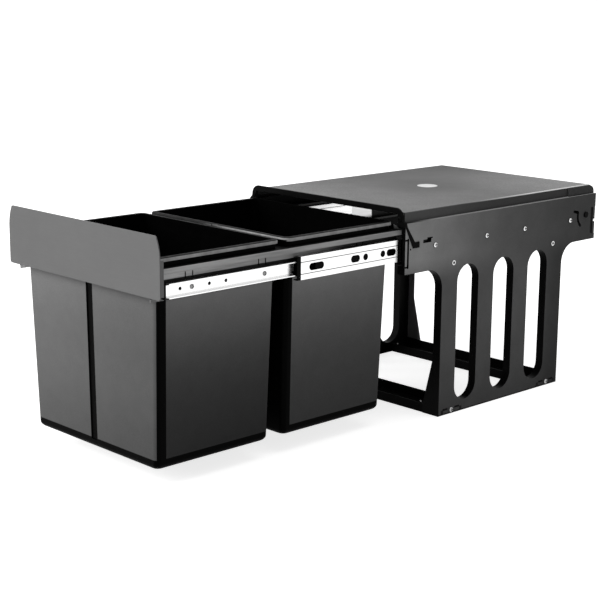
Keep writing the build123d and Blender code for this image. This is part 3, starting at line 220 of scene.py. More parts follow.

# Plated steel: marks drawn out along the rails, and painted shade on the middle rails' two beads and on
# what lies in shade
ALONG_RAIL = (1.0, 0.02, 1.0)
MARK_SHARE = 0.90
BEADS = (Strip(MID_AXIS - 8.5 * MM, 0.5 * MM), Strip(MID_AXIS + 8.5 * MM, 0.5 * MM))
BEAD_SHADE_TONE = 0.10
COVERED_SHADE_TONE = 0.006
HIDDEN_START_FADE = 0.5 * MM
HIDDEN_END = (-6.0 * MM, -4.0 * MM)
SHADED_TONE = 0.02
BORE_FACING = (0.3, 0.6)
RECESS_FLOOR = (SCREW_TOP - 1.1 * MM, SCREW_TOP - 0.8 * MM)
OUTER_LIPS = (OUTER_HIGH[0] - 5.0 * MM, OUTER_HIGH[0] - 4.0 * MM)

# Plated steel: where along Y the rails are bright, between what covers them in front and behind;
# outside it they get painted shade
OUTER_BRIGHT = (OUTER_LOW[1], 0.045)
MID_BRIGHT = (MID_LOW[1], PANEL_LOW[1] - 1.0 * MM)
INNER_BRIGHT = (INNER_LOW[1] + 8.0 * MM, MID_LOW[1])

# Screws: sizes in millimetres, and the head's curve as shares of its radius and its rise
Screw = namedtuple("Screw", "node body shank head rise length axis slot")
SCREWS = (
    Screw("rail_screws", "frame", 4.0, 8.0, 2.2, 10.4, None, "bright_screw"),
    Screw("crossbar_screws", "frame", 4.0, 8.0, 2.2, 5.8, None, "bright_screw"),
    Screw("edge_screws", "frame", 2.5, 5.0, 1.2, 3.6, None, "bright_screw"),
    Screw("inner_rail_screws", "carrier", 4.0, 7.0, 1.2, 3.9, None, "bright_screw"),
    Screw("arch_screws", "frame", 4.0, 8.0, 2.2, 10.6, Vector((0.0, -1.0, 0.0)), "black_plastic"),
)
HEAD_CURVE = ((0.96, 1.0), (1.0, 0.86), (0.97, 0.55), (0.84, 0.24), (0.60, 0.06), (0.30, 0.0))
TIP_SHARE = 0.6
TIP_LENGTH = 0.5 * MM
CROSS_WIDTH = 0.42
CROSS_ARM = 1.30
CROSS_DEPTH = 0.62

# Eyelets: a sleeve in the panel's hole under a thin rolled flange
EYELET_BORE = 2.25 * MM
EYELET_WALL = 2.95 * MM
EYELET_RIM = 4.0 * MM
EYELET_BACK = -5.5 * MM
EYELET_SEAT = -0.6 * MM
EYELET_FLARE = 0.25 * MM
EYELET_FLARE_DROP = -0.15 * MM
EYELET_ROLL = 0.5 * MM
EYELET_EDGE = 0.1 * MM
EYELET_EDGE_DROP = -0.2 * MM

# Disc on the lid: steps in from its edge, and drops below its top as shares of its thickness
BADGE_EDGE = ((0.0, 0.5), (0.3 * MM, 0.1), (0.9 * MM, 0.0), (1.6 * MM, 0.15), (2.2 * MM, 0.45))
BADGE_DISH = ((0.5, 0.5), (0.0, 0.45))
BADGE_SEGMENTS = 64

# Ridge along the back of the carrier
RIDGE_INSET = 12.0 * MM
RIDGE_SUNK = 0.5 * MM
RIDGE_RISE = 8.5 * MM
RIDGE_CORNER = 4.0 * MM
RIDGE_CHAMFER = 1.2 * MM
RIDGE_BACK = 4.5 * MM
RIDGE_THICKNESS = 2.5 * MM

# Meshes: facets of a turned piece, the crease between smooth faces, and points that count as one
SEGMENTS = 40
CREASE_ANGLE = 35.0
WELD = 0.002 * MM


def link(tree, source, target):
    """Joins an output socket to an input socket."""
    tree.links.new(source, target)


class Nodes:
    """A material's node tree, with short ways to add the nodes used here."""

    def __init__(self, name):
        self.material = bpy.data.materials.new(name)
        self.material.use_nodes = True
        self.tree = self.material.node_tree
        self.shader = self.tree.nodes["Principled BSDF"]
        self.coords = self.tree.nodes.new("ShaderNodeTexCoord")
        self.place = self.coords.outputs["Object"]
        self.facing = self.coords.outputs["Normal"]

    def put(self, socket, value):
        """Sets an input from a socket or a plain value."""
        if hasattr(value, "is_output"):
            link(self.tree, value, socket)
        else:
            socket.default_value = value

    def math(self, operation, a, b=0.0, clamp=False):
        """Result of a sum on two sockets or numbers."""
        node = self.tree.nodes.new("ShaderNodeMath")
        node.operation = operation
        node.use_clamp = clamp
        self.put(node.inputs[0], a)
        self.put(node.inputs[1], b)
        return node.outputs[0]

    def minus(self, a, b):
        return self.math("SUBTRACT", a, b)

    def without(self, mask, other):
        """A mask less another one."""
        return self.math("SUBTRACT", mask, other, clamp=True)

    def times(self, *values):
        """Product of several masks or numbers."""
        total = values[0]
        for value in values[1:]:
            total = self.math("MULTIPLY", total, value)
        return total

    def positive(self, value):
        """1 where value is above zero."""
        return self.math("GREATER_THAN", value, 0.0)

    def size(self, value):
        return self.math("ABSOLUTE", value)

    def split(self, vector):
        """The three parts of a vector."""
        node = self.tree.nodes.new("ShaderNodeSeparateXYZ")
        self.put(node.inputs[0], vector)
        return node.outputs

    def ramp(self, value, low, high, from_value=0.0, to_value=1.0):
        """Smooth step from one value to another as value goes from low to high."""
        node = self.tree.nodes.new("ShaderNodeMapRange")
        node.interpolation_type = "SMOOTHSTEP"
        self.put(node.inputs["Value"], value)
        node.inputs["From Min"].default_value = low
        node.inputs["From Max"].default_value = high
        node.inputs["To Min"].default_value = from_value
        node.inputs["To Max"].default_value = to_value
        return node.outputs["Result"]

    def fall(self, value, low, high):
        """1 where value is below low, 0 where it is above high."""
        return self.ramp(value, low, high, 1.0, 0.0)

    def band(self, value, strip, soft=0.2 * MM):
        """1 where value lies within a strip."""
        return self.fall(self.size(self.minus(value, strip.middle)), strip.half, strip.half + soft)

    def tones(self, value, low, high, stops):
        """Grey that passes through the tones in stops as value goes from low to high."""
        node = self.tree.nodes.new("ShaderNodeValToRGB")
        node.color_ramp.interpolation = "B_SPLINE" if len(stops) > 3 else "EASE"
        elements = node.color_ramp.elements
        while len(elements) < len(stops):
            elements.new(0.5)
        for element, (where, tone) in zip(elements, stops):
            element.position = where
            element.color = (tone, tone, tone, 1.0)
        plain = self.tree.nodes.new("ShaderNodeMapRange")
        self.put(plain.inputs["Value"], value)
        plain.inputs["From Min"].default_value = low
        plain.inputs["From Max"].default_value = high
        link(self.tree, plain.outputs["Result"], node.inputs["Fac"])
        return node.outputs["Color"]

    def noise(self, scale, detail=3.0, roughness=0.55, stretch=None):
        """Cloudy value, drawn out along the axes where stretch is small."""
        node = self.tree.nodes.new("ShaderNodeTexNoise")
        node.inputs["Scale"].default_value = scale
        node.inputs["Detail"].default_value = detail
        node.inputs["Roughness"].default_value = roughness
        vector = self.place
        if stretch:
            mapping = self.tree.nodes.new("ShaderNodeMapping")
            mapping.inputs["Scale"].default_value = stretch
            link(self.tree, self.place, mapping.inputs["Vector"])
            vector = mapping.outputs["Vector"]
        link(self.tree, vector, node.inputs["Vector"])
        return node.outputs["Fac"]

    def clouds(self, scale, low, high):
        """Value that drifts between low and high in clouds of the given scale."""
        return self.ramp(self.noise(scale), *CLOUDS, low, high)

    def mix(self, factor, a, b, blend="MIX"):
        """Colour between a and b, each of which is a socket or a plain grey."""
        node = self.tree.nodes.new("ShaderNodeMix")
        node.data_type = "RGBA"
        node.blend_type = blend
        self.put(node.inputs["Factor"], factor)
        self.put(node.inputs["A"], a if hasattr(a, "is_output") else (a, a, a, 1.0))
        self.put(node.inputs["B"], b if hasattr(b, "is_output") else (b, b, b, 1.0))
        return node.outputs["Result"]

    def tint(self, colour, share):
        """Colour times a share of it."""
        return self.mix(1.0, colour, share, "MULTIPLY")

    def vary(self, colour, amount, scale, detail=3.0, stretch=None):
        """Colour made lighter and darker by up to amount, in clouds of the given scale."""
        cloud = self.noise(scale, detail, roughness=0.6, stretch=stretch)
        return self.tint(colour, self.ramp(cloud, *CLOUDS, 1.0 - amount, 1.0 + amount))

    def colour(self, value):
        self.put(self.shader.inputs["Base Color"], value)

    def bump(self, height, distance, strength):
        node = self.tree.nodes.new("ShaderNodeBump")
        node.inputs["Strength"].default_value = strength
        node.inputs["Distance"].default_value = distance
        self.put(node.inputs["Height"], height)
        link(self.tree, node.outputs["Normal"], self.shader.inputs["Normal"])

    def finish(self, roughness, specular=0.5, metallic=0.0):
        self.put(self.shader.inputs["Roughness"], roughness)
        self.shader.inputs["Specular IOR Level"].default_value = specular
        self.shader.inputs["Metallic"].default_value = metallic


def off_line_mask(nodes, centre_y):
    """1 on faces that look away from the upright middle line of a bin."""
    x, y, _ = nodes.split(nodes.place)
    nx, ny, _ = nodes.split(nodes.facing)
    along = nodes.times(ny, nodes.minus(y, centre_y))
    return nodes.positive(nodes.math("ADD", nodes.times(nx, x), along))


def tub_plastic(name, node, lit_end, front_margin, side_stops):
    """Moulded near-black tub with a painted reflection on its outer walls, none at its corners, groove
    and base, or inside.

    The end wall that lit_end points to has the painted reflection; the one that faces the other bin
    stays black.
    """
    low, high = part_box(node)
    centre_y = (low[1] + high[1]) / 2
    depth = high[2] - low[2]
    nodes = Nodes(name)
    x, y, z = nodes.split(nodes.place)
    nx, ny, _ = nodes.split(nodes.facing)
    drop = nodes.minus(high[2], z)
    along = nodes.minus(y, centre_y)
    half_width = nodes.minus(high[0], nodes.times(drop, SIDE_TAPER / depth))
    half_length = nodes.minus((high[1] - low[1]) / 2, nodes.times(drop, END_TAPER / depth))
    to_side = nodes.minus(half_width, nodes.size(x))
    to_end = nodes.minus(half_length, nodes.size(along))
    is_side = nodes.ramp(nodes.size(nx), *SIDE_FACING)
    strip = nodes.ramp(along, -MARGIN_FADE, MARGIN_FADE, front_margin, REAR_MARGIN)
    off_side_strip = nodes.ramp(nodes.minus(to_end, strip), -MARGIN_FADE, 0.0)
    off_end_strip = nodes.times(
        nodes.ramp(to_side, END_MARGIN - MARGIN_FADE, END_MARGIN),
        nodes.positive(nodes.times(ny, lit_end)),
    )
    off_corner = nodes.mix(is_side, off_end_strip, off_side_strip)
    off_groove = nodes.ramp(nodes.size(x), GROOVE_HALF, GROOVE_HALF + GROOVE_FADE)
    off_groove = nodes.math("MAXIMUM", is_side, off_groove)
    off_base = nodes.ramp(z, low[2] + BASE_BAND, low[2] + BASE_BAND + BASE_FADE)
    # painted reflection: only on outward faces, clear of the corners, groove and base
    wall = nodes.times(off_line_mask(nodes, centre_y), off_corner, off_groove, off_base)
    # painted light: lighter towards the rim, and the end walls darker towards the right
    end_tone = nodes.tones(z, low[2], high[2], TUB_END_STOPS)
    end_tone = nodes.tint(end_tone, nodes.ramp(x, low[0], high[0], *TUB_END_SHARE))
    side_tone = nodes.tones(z, low[2], high[2], side_stops)
    painted_reflection = nodes.mix(is_side, end_tone, side_tone)
    painted_reflection = nodes.vary(painted_reflection, amount=0.03, scale=45.0, detail=4.0)
    painted_reflection = nodes.vary(painted_reflection, amount=0.05, scale=700.0, detail=2.0)
    nodes.colour(nodes.mix(wall, BLACK, painted_reflection))
    nodes.bump(nodes.noise(scale=2600.0, detail=2.0), distance=0.03 * MM, strength=0.35)
    nodes.finish(nodes.clouds(scale=90.0, low=0.36, high=0.46), specular=BLACK_SPECULAR)
    return nodes.material


def rim_plastic(name, node):
    """Moulded black rim with a painted highlight round its outer edge."""
    low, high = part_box(node)
    nodes = Nodes(name)
    x, y, z = nodes.split(nodes.place)
    _, ny, nz = nodes.split(nodes.facing)
    lip_foot = low[2] + LIP_START
    # painted highlight on the outward faces of the lip; the rest of the rim stays black
    lip = nodes.times(
        off_line_mask(nodes, (low[1] + high[1]) / 2),
        nodes.ramp(z, lip_foot, lip_foot + LIP_FADE),
        nodes.fall(nz, *LIP_FACING),
    )
    end_foot = high[2] - END_LIP
    # painted light: the end lips dark on their left and lit on their right
    end_tone = nodes.mix(nodes.ramp(x, *END_LIP_SPAN), *END_LIP_HIGHLIGHT_TONES)
    end_tone = nodes.mix(nodes.ramp(z, end_foot, end_foot + END_LIP_FADE), BLACK, end_tone)
    tone = nodes.mix(nodes.ramp(y, low[1], high[1]), *LIP_HIGHLIGHT_TONES)
    tone = nodes.mix(nodes.ramp(nodes.size(ny), *END_FACING), tone, end_tone)
    tone = nodes.vary(tone, amount=0.20, scale=60.0)
    nodes.colour(nodes.mix(lip, BLACK, tone))
    nodes.bump(nodes.noise(scale=2400.0, detail=2.0), distance=0.03 * MM, strength=0.3)
    nodes.finish(nodes.clouds(scale=90.0, low=0.34, high=0.44), specular=BLACK_SPECULAR)
    return nodes.material


def plate_paint(name):
    """Satin grey paint with the grain that a roller leaves along the plate, and painted shading a
    little darker at its left.
    """
    nodes = Nodes(name)
    x, _, _ = nodes.split(nodes.place)
    # painted shading: a little darker at the left
    tone = nodes.mix(nodes.ramp(x, *PLATE_SPAN), *PLATE_TONES)
    tone = nodes.vary(tone, amount=0.02, scale=12.0)
    tone = nodes.vary(tone, amount=0.015, scale=500.0, stretch=PLATE_GRAIN)
    nodes.colour(tone)
    nodes.bump(nodes.noise(scale=1400.0, roughness=0.6), distance=0.03 * MM, strength=0.3)
    nodes.finish(nodes.clouds(scale=40.0, low=0.42, high=0.50), specular=0.1)
    return nodes.material


def panel_face(nodes):
    """1 on a panel's painted outer face, less the painted shade by its rear groove, at its tab ends and
    along its bottom edge.
    """
    x, y, z = nodes.split(nodes.place)
    nx, _, _ = nodes.split(nodes.facing)
    face = nodes.times(
        nodes.ramp(nodes.size(nx), *PANEL_FACING),
        nodes.positive(nodes.times(nx, x)),
        nodes.ramp(nodes.size(x), *PANEL_SKIN),
    )
    # painted shade of the rear groove's walls
    for strip in GROOVE_SHADE_STRIPS:
        face = nodes.without(face, nodes.times(nodes.band(y, strip), nodes.band(z, GROOVE_SHADE_HEIGHT)))
    along_foot = nodes.size(nodes.minus(nodes.size(y), FOOT_MIDDLE))
    # painted shade at the tab ends
    tab_end = nodes.times(
        nodes.band(along_foot, TAB_END, TAB_END_FADE),
        nodes.ramp(z, *TAB_HEIGHT, TAB_SHADE, 0.0),
    )
    # the bottom edge is left out and gets the flanges' painted shade
    return nodes.times(nodes.without(face, tab_end), nodes.ramp(z, *FOOT_EDGE))


def panel_paint(name):
    """Charcoal paint on the panels' faces, lit and shaded by painted tones, and painted near-black
    shade on their flanges and slot collars.
    """
    nodes = Nodes(name)
    x, y, z = nodes.split(nodes.place)
    _, ny, nz = nodes.split(nodes.facing)
    # painted light and shade: the band lighter towards the front, the legs darker towards the floor and
    # at the rear
    band = nodes.tones(y, PANEL_LOW[1], PANEL_HIGH[1], BAND_STOPS)
    leg = nodes.tones(z, 0.0, BAND_TOP, LEG_STOPS)
    leg = nodes.tint(leg, nodes.ramp(y, *REAR_LEG_SPAN, 1.0, REAR_LEG_SHARE))
    tone = nodes.mix(nodes.ramp(z, *LEG_TO_BAND), leg, band)
    tone = nodes.vary(tone, amount=0.07, scale=22.0, detail=4.0)
    tone = nodes.vary(tone, amount=0.05, scale=800.0, detail=2.0)
    # painted highlight along the band's top ledge
    ledge = nodes.times(
        nodes.ramp(nz, *LEDGE_FACING),
        nodes.ramp(z, *LEDGE_HEIGHT),
        nodes.ramp(y, *LEDGE_SPAN),
    )
    # painted light on the far leg's turned flange
    turned = nodes.times(
        nodes.fall(ny, *TURNED_FACING),
        nodes.fall(x, *MIDDLE_FADE),
        nodes.band(y, TURNED_FLANGE),
    )
    # painted shade on the flanges and slot collars
    flange = nodes.mix(ledge, nodes.mix(turned, FLANGE_SHADE_TONE, TURNED_LIGHT_TONE), LEDGE_HIGHLIGHT_TONE)
    nodes.colour(nodes.mix(panel_face(nodes), flange, tone))
    nodes.bump(nodes.noise(scale=1500.0, roughness=0.6), distance=0.05 * MM, strength=0.35)
    nodes.finish(nodes.clouds(scale=40.0, low=0.40, high=0.48), specular=0.03)
    return nodes.material


def lid_paint(name):
    """Speckled textured grey on the lid's top with painted light and shade, charcoal skirts, and a
    painted highlight along its side edges.
    """
    nodes = Nodes(name)
    x, y, z = nodes.split(nodes.place)
    nx, _, nz = nodes.split(nodes.facing)
    top = nodes.times(nodes.ramp(nz, *TOP_FACING), nodes.ramp(z, *TOP_SKIN))
    speckle = nodes.ramp(nodes.noise(scale=320.0, roughness=0.75), *SPECKLE_RANGE)
    # painted light: tones from front to rear, lighter at the left front and towards the right rear
    left_tone = nodes.tones(y, LID_LOW[1], LID_HIGH[1], LID_LEFT_STOPS)
    right_tone = nodes.tones(y, LID_LOW[1], LID_HIGH[1], LID_RIGHT_STOPS)
    ground = nodes.mix(nodes.ramp(x, *LID_SPAN), left_tone, right_tone)
    ground = nodes.tint(ground, nodes.ramp(speckle, 0.0, 1.0, *SPECKLE_SHARE))
    # painted shade round the disc
    across = nodes.math("POWER", x, 2.0)
    along = nodes.math("POWER", nodes.minus(y, BADGE_MIDDLE), 2.0)
    reach = nodes.math("SQRT", nodes.math("ADD", along, across))
    ground = nodes.tint(ground, nodes.ramp(reach, *BADGE_SHADE_REACH, BADGE_SHADE, 1.0))
    ground = nodes.vary(ground, amount=0.07, scale=18.0)
    # painted light and shade: skirts lighter at the front
    skirt = nodes.tones(y, LID_LOW[1], LID_HIGH[1], SKIRT_STOPS)
    outer = nodes.positive(nodes.math("ADD", nodes.times(nx, x), nodes.ramp(nz, *SKIRT_FACING)))
    # painted shade inside the lid, and painted light on the arms' edges that lie in its shadow
    inside = nodes.mix(nodes.ramp(nodes.size(x), *ARM_EDGE), LID_INSIDE_SHADE_TONE, ARM_EDGE_LIGHT_TONE)
    skirt = nodes.mix(outer, inside, skirt)
    # painted highlight along the side edges of the top
    edge_highlight = nodes.times(
        nodes.ramp(nodes.size(x), *HIGHLIGHT_EDGE),
        nodes.ramp(nz, *HIGHLIGHT_FACING),
        nodes.ramp(z, *HIGHLIGHT_HEIGHT),
        nodes.ramp(y, *HIGHLIGHT_SPAN),
    )
    nodes.colour(nodes.mix(edge_highlight, nodes.mix(top, skirt, ground), HIGHLIGHT_TONE))
    nodes.bump(nodes.noise(scale=900.0, roughness=0.7), distance=0.10 * MM, strength=0.5)
    nodes.finish(nodes.ramp(speckle, 0.0, 1.0, 0.46, 0.60), specular=0.1)
    return nodes.material


def carrier_plastic(name):
    """Satin moulded carrier: streaked grey outer walls lit by painted tones, painted near-black shade
    above the rails and inside.
    """
    nodes = Nodes(name)
    x, y, z = nodes.split(nodes.place)
    nx, _, _ = nodes.split(nodes.facing)
    side = nodes.times(
        nodes.ramp(nodes.size(nx), *CARRIER_FACING), nodes.positive(nodes.times(nx, x))
    )
    # painted light and shade: lip and wall lighter towards the front
    lip_tone = nodes.tones(y, CARRIER_LOW[1], CARRIER_HIGH[1], CARRIER_LIP_STOPS)
    wall_tone = nodes.tones(y, CARRIER_LOW[1], CARRIER_HIGH[1], CARRIER_WALL_STOPS)
    # painted shade just above the rails
    wall_tone = nodes.mix(nodes.ramp(z, *RAIL_SHADE), CARRIER_SHADE_TONE, wall_tone)
    tone = nodes.mix(nodes.ramp(z, *CARRIER_LIP), wall_tone, lip_tone)
    tone = nodes.vary(tone, amount=0.22, scale=160.0, stretch=CARRIER_STREAKS)
    # painted light on the feet behind the plate, brighter on the left
    toe = nodes.times(nodes.fall(y, *TOE_SPAN), nodes.fall(z, *TOE_HEIGHT))
    toe_light = nodes.mix(nodes.ramp(x, *MIDDLE_FADE), *TOE_LIGHT_TONES)
    # painted shade on all faces but the outer walls
    nodes.colour(nodes.mix(toe, nodes.mix(side, CARRIER_SHADE_TONE, tone), toe_light))
    nodes.bump(nodes.noise(scale=1600.0, roughness=0.6), distance=0.03 * MM, strength=0.3)
    nodes.finish(nodes.clouds(scale=60.0, low=0.38, high=0.48), specular=0.05)
    return nodes.material


def plated(name, tone, rough, stretch=None, beads=(), bright=None, shaded=None):
    """Plated steel with fine marks, drawn out by stretch along the rolling direction.

    beads are strips along Z that get painted shade, bright is the span along Y outside which painted
    shade stands for the dark of what covers the steel, and shaded gives a mask of the faces that lie in
    a recess, which get painted shade.
    """
    nodes = Nodes(name)
    _, y, z = nodes.split(nodes.place)
    marks = nodes.noise(scale=700.0, roughness=0.6, stretch=stretch)
    colour = nodes.mix(marks, tone, tone * MARK_SHARE)
    # painted shade along the beads
    for bead in beads:
        colour = nodes.mix(nodes.band(z, bead), colour, BEAD_SHADE_TONE)
    # painted shade where the steel lies covered
    if bright:
        start, end = bright
        lit = nodes.times(
            nodes.ramp(y, start - HIDDEN_START_FADE, start),
            nodes.fall(y, end + HIDDEN_END[0], end + HIDDEN_END[1]),
        )
        colour = nodes.mix(lit, COVERED_SHADE_TONE, colour)
    # painted shade in recesses
    if shaded:
        colour = nodes.mix(shaded(nodes), colour, SHADED_TONE)
    nodes.colour(colour)
    nodes.bump(marks, distance=0.02 * MM, strength=0.25)
    nodes.finish(nodes.ramp(marks, *CLOUDS, rough - ROUGH_SPREAD, rough + ROUGH_SPREAD), metallic=1.0)
    return nodes.material


def bore_walls(nodes):
    """1 on faces that don't look along X, such as the wall of a hole, which get painted shade."""
    nx, _, _ = nodes.split(nodes.facing)
    return nodes.fall(nodes.size(nx), *BORE_FACING)


def driver_recess(nodes):
    """1 in the recess of a rail screw's head and round its foot, which get painted shade."""
    x, _, _ = nodes.split(nodes.place)
    deep = nodes.fall(nodes.size(x), *RECESS_FLOOR)
    return nodes.math("MAXIMUM", deep, bore_walls(nodes))


def rail_lips(nodes):
    """1 on the lips of an outer rail, which lie nearer the middle than its web and get painted shade.
    """
    x, _, _ = nodes.split(nodes.place)
    return nodes.fall(nodes.size(x), *OUTER_LIPS)


def black_moulding(name, tone=0.003, rough=0.38):
    """Black plastic or paint with a fine satin grain."""
    nodes = Nodes(name)
    nodes.colour(nodes.mix(nodes.noise(scale=50.0), tone, tone * MOULDING_LIGHTER))
    nodes.bump(nodes.noise(scale=1800.0, detail=2.0), distance=0.03 * MM, strength=0.4)
    nodes.finish(nodes.clouds(60.0, rough - ROUGH_SPREAD, rough + ROUGH_SPREAD), MOULDING_SPECULAR)
    return nodes.material


# One material for each slot of the record, and own ones for nodes that look different
MATERIALS = {
    "frame_paint": panel_paint("frame_paint"),
    "lid_paint": lid_paint("lid_paint"),
    "badge_grey": plated("badge_satin", tone=0.66, rough=0.40),
    "plate_paint": plate_paint("plate_paint"),
    "carrier_grey": carrier_plastic("carrier_grey"),
    "black_plastic": black_moulding("black_plastic"),
    "zinc_steel": plated("zinc_steel", tone=0.90, rough=0.30, stretch=ALONG_RAIL),
    "ball_steel": plated("ball_steel", tone=0.30, rough=0.15),
    "bright_screw": plated("bright_screw", tone=0.85, rough=0.22),
}
DARK_PAINT = black_moulding("dark_paint", tone=0.004, rough=0.45)
CAGE_MOULDING = black_moulding("cage_moulding")
INNER_ZINC = plated("inner_zinc", tone=0.90, rough=0.28, stretch=ALONG_RAIL, bright=INNER_BRIGHT)
OWN_MATERIALS = {
    "bin_front": tub_plastic(
        "bin_front_plastic", "bin_front", FRONT_END, FRONT_BIN_MARGIN, FRONT_BIN_STOPS
    ),
    "bin_rear": tub_plastic("bin_rear_plastic", "bin_rear", REAR_END, REAR_BIN_MARGIN, REAR_BIN_STOPS),
    "rim_front": rim_plastic("rim_front_plastic", "rim_front"),
    "rim_rear": rim_plastic("rim_rear_plastic", "rim_rear"),
    "base_crossbar_front": DARK_PAINT,
    "base_crossbar_rear": DARK_PAINT,
    "lid_arm_left": MATERIALS["lid_paint"],
    "lid_arm_right": MATERIALS["lid_paint"],
    "lid_arm_rivets": MATERIALS["lid_paint"],
    # Painted light and shade: the far outer rail lit, the near one in painted shade; the near middle
    # rail and the inner rails get painted shade where they lie covered
    "outer_rail_left": plated(
        "outer_zinc", tone=0.72, rough=0.38, stretch=ALONG_RAIL, bright=OUTER_BRIGHT, shaded=rail_lips
    ),
    "outer_rail_right": plated("rail_in_shade", tone=0.03, rough=0.45, stretch=ALONG_RAIL),
    "mid_rail_left": plated("mid_zinc", tone=0.90, rough=0.30, stretch=ALONG_RAIL, beads=BEADS),
    "mid_rail_right": plated(
        "mid_zinc_near", tone=0.90, rough=0.30, stretch=ALONG_RAIL, beads=BEADS, bright=MID_BRIGHT
    ),
    "inner_rail_left": INNER_ZINC,
    "inner_rail_right": INNER_ZINC,
    "inner_rail_screws": plated("inner_screw", tone=0.24, rough=0.35, shaded=bore_walls),
    "rail_screws": plated("rail_screw", tone=0.85, rough=0.22, shaded=driver_recess),
    "crossbar_screws": plated("crossbar_screw", tone=0.42, rough=0.30, shaded=bore_walls),
    "side_eyelets": plated("eyelet", tone=0.70, rough=0.30, shaded=bore_walls),
    "ball_cage_inner_left": CAGE_MOULDING,
    "ball_cage_inner_right": CAGE_MOULDING,
    "ball_cage_outer_left": CAGE_MOULDING,
    "ball_cage_outer_right": CAGE_MOULDING,
}


def dress_nodes():
    """Gives every CAD node its own material, or that of its slot in the record."""
    for part in frame["record"]["subparts"]:
        node = part["node"]
        mesh = NODES[node].data
        mesh.materials.clear()
        mesh.materials.append(OWN_MATERIALS.get(node) or MATERIALS[part["material_slot"]])


def islands(node):
    """Lowest and highest corners of each loose solid in a CAD node."""
    work = bmesh.new()
    work.from_mesh(NODES[node].data)
    bmesh.ops.remove_doubles(work, verts=work.verts, dist=WELD)
    left = set(work.verts)
    boxes = []
    while left:
        stack = [left.pop()]
        found = []
        while stack:
            vert = stack.pop()
            found.append(vert.co.copy())
            for edge in vert.link_edges:
                other = edge.other_vert(vert)
                if other in left:
                    left.remove(other)
                    stack.append(other)
        low = Vector([min(point[i] for point in found) for i in range(3)])
        high = Vector([max(point[i] for point in found) for i in range(3)])
        boxes.append((low, high))
    work.free()
    return sorted(boxes, key=lambda box: tuple(round(part, 4) for part in box[0]))


def outward_turns(node, axis=None):
    """Where the outer end of each solid of a node lies, with Z turned to look outwards."""
    places = []
    for low, high in islands(node):
        middle = (low + high) / 2
        way = axis or Vector((1.0 if middle.x > 0 else -1.0, 0.0, 0.0))
        reach = sum(abs(way[i]) * (high[i] - low[i]) / 2 for i in range(3))
        turn = way.to_track_quat("Z", "Y").to_matrix().to_4x4()
        places.append(Matrix.Translation(middle + way * reach) @ turn)
    return places


def lathe(name, profile, segments=SEGMENTS, closed=False):
    """Mesh turned round Z from a profile of (radius, height) points."""
    work = bmesh.new()
    angles = [2 * math.pi * i / segments for i in range(segments)]
    rings = []
    for radius, height in profile:
        if radius == 0.0:
            rings.append([work.verts.new((0.0, 0.0, height))])
            continue
        ring = [(radius * math.cos(angle), radius * math.sin(angle), height) for angle in angles]
        rings.append([work.verts.new(point) for point in ring])
    pairs = list(zip(rings, rings[1:]))
    if closed:
        pairs.append((rings[-1], rings[0]))
    for lower, upper in pairs:
        for i in range(segments):
            j = (i + 1) % segments
            corners = [lower[i % len(lower)], lower[j % len(lower)]]
            corners += [upper[j % len(upper)], upper[i % len(upper)]]
            unique = list(dict.fromkeys(corners))
            if len(unique) > 2:
                work.faces.new(unique)
    bmesh.ops.recalc_face_normals(work, faces=work.faces)
    mesh = bpy.data.meshes.new(name)
    work.to_mesh(mesh)
    work.free()
    return mesh


def cross_recess(mesh, width, arm, depth):
    """The mesh with a cross cut down into it from height 0, as a driver recess."""
    cutter = bmesh.new()
    for size_x, size_y in ((width, arm), (arm, width)):
        scale = Matrix.Diagonal((size_x, size_y, 2 * depth, 1.0))
        bmesh.ops.create_cube(cutter, size=1.0, matrix=scale)
    cut_mesh = bpy.data.meshes.new("cutter")
    cutter.to_mesh(cut_mesh)
    cutter.free()
    cut = bpy.data.objects.new("cutter", cut_mesh)
    body = bpy.data.objects.new("blank", mesh)
    SCENE.collection.objects.link(cut)
    SCENE.collection.objects.link(body)
    boolean = body.modifiers.new("recess", "BOOLEAN")
    boolean.operation = "DIFFERENCE"
    boolean.object = cut
    boolean.solver = "EXACT"
    boolean.use_self = True
    result = bpy.data.meshes.new_from_object(body.evaluated_get(bpy.context.evaluated_depsgraph_get()))
    bpy.data.objects.remove(body)
    bpy.data.objects.remove(cut)
    bpy.data.meshes.remove(cut_mesh)
    return result


def add_piece(name, mesh, material, body):
    """A piece with a material, carried by a body."""
    piece = bpy.data.objects.new(name, mesh)
    SCENE.collection.objects.link(piece)
    mesh.materials.append(material)
    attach(piece, body)
    return piece


def stand_in(name, mesh, places, node, body, slot):
    """One piece made of a copy of mesh at each place, instead of a CAD node."""
    work = bmesh.new()
    for place in places:
        copy = mesh.copy()
        copy.transform(place)
        work.from_mesh(copy)
        bpy.data.meshes.remove(copy)
    whole = bpy.data.meshes.new(name)
    work.to_mesh(whole)
    work.free()
    for polygon in whole.polygons:
        polygon.use_smooth = True
    whole.set_sharp_from_angle(angle=math.radians(CREASE_ANGLE))
    piece = add_piece(name, whole, OWN_MATERIALS.get(node) or MATERIALS[slot], body)
    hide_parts(node)


def make_screws():
    """Pan-head screws with a cross recess, at the places of the CAD screws."""
    for screw in SCREWS:
        radius = screw.head / 2 * MM
        shank = screw.shank / 2 * MM
        rise = screw.rise * MM
        tip = -screw.length * MM
        profile = [(0.0, tip), (shank * TIP_SHARE, tip), (shank, tip + TIP_LENGTH), (shank, -rise)]
        profile += [(radius * out, -rise * down) for out, down in HEAD_CURVE]
        profile.append((0.0, 0.0))
        mesh = lathe(screw.node + "_blank", profile)
        mesh = cross_recess(mesh, CROSS_WIDTH * radius, CROSS_ARM * radius, CROSS_DEPTH * rise)
        turns = outward_turns(screw.node, screw.axis)
        stand_in(screw.node + "_detail", mesh, turns, screw.node, screw.body, screw.slot)


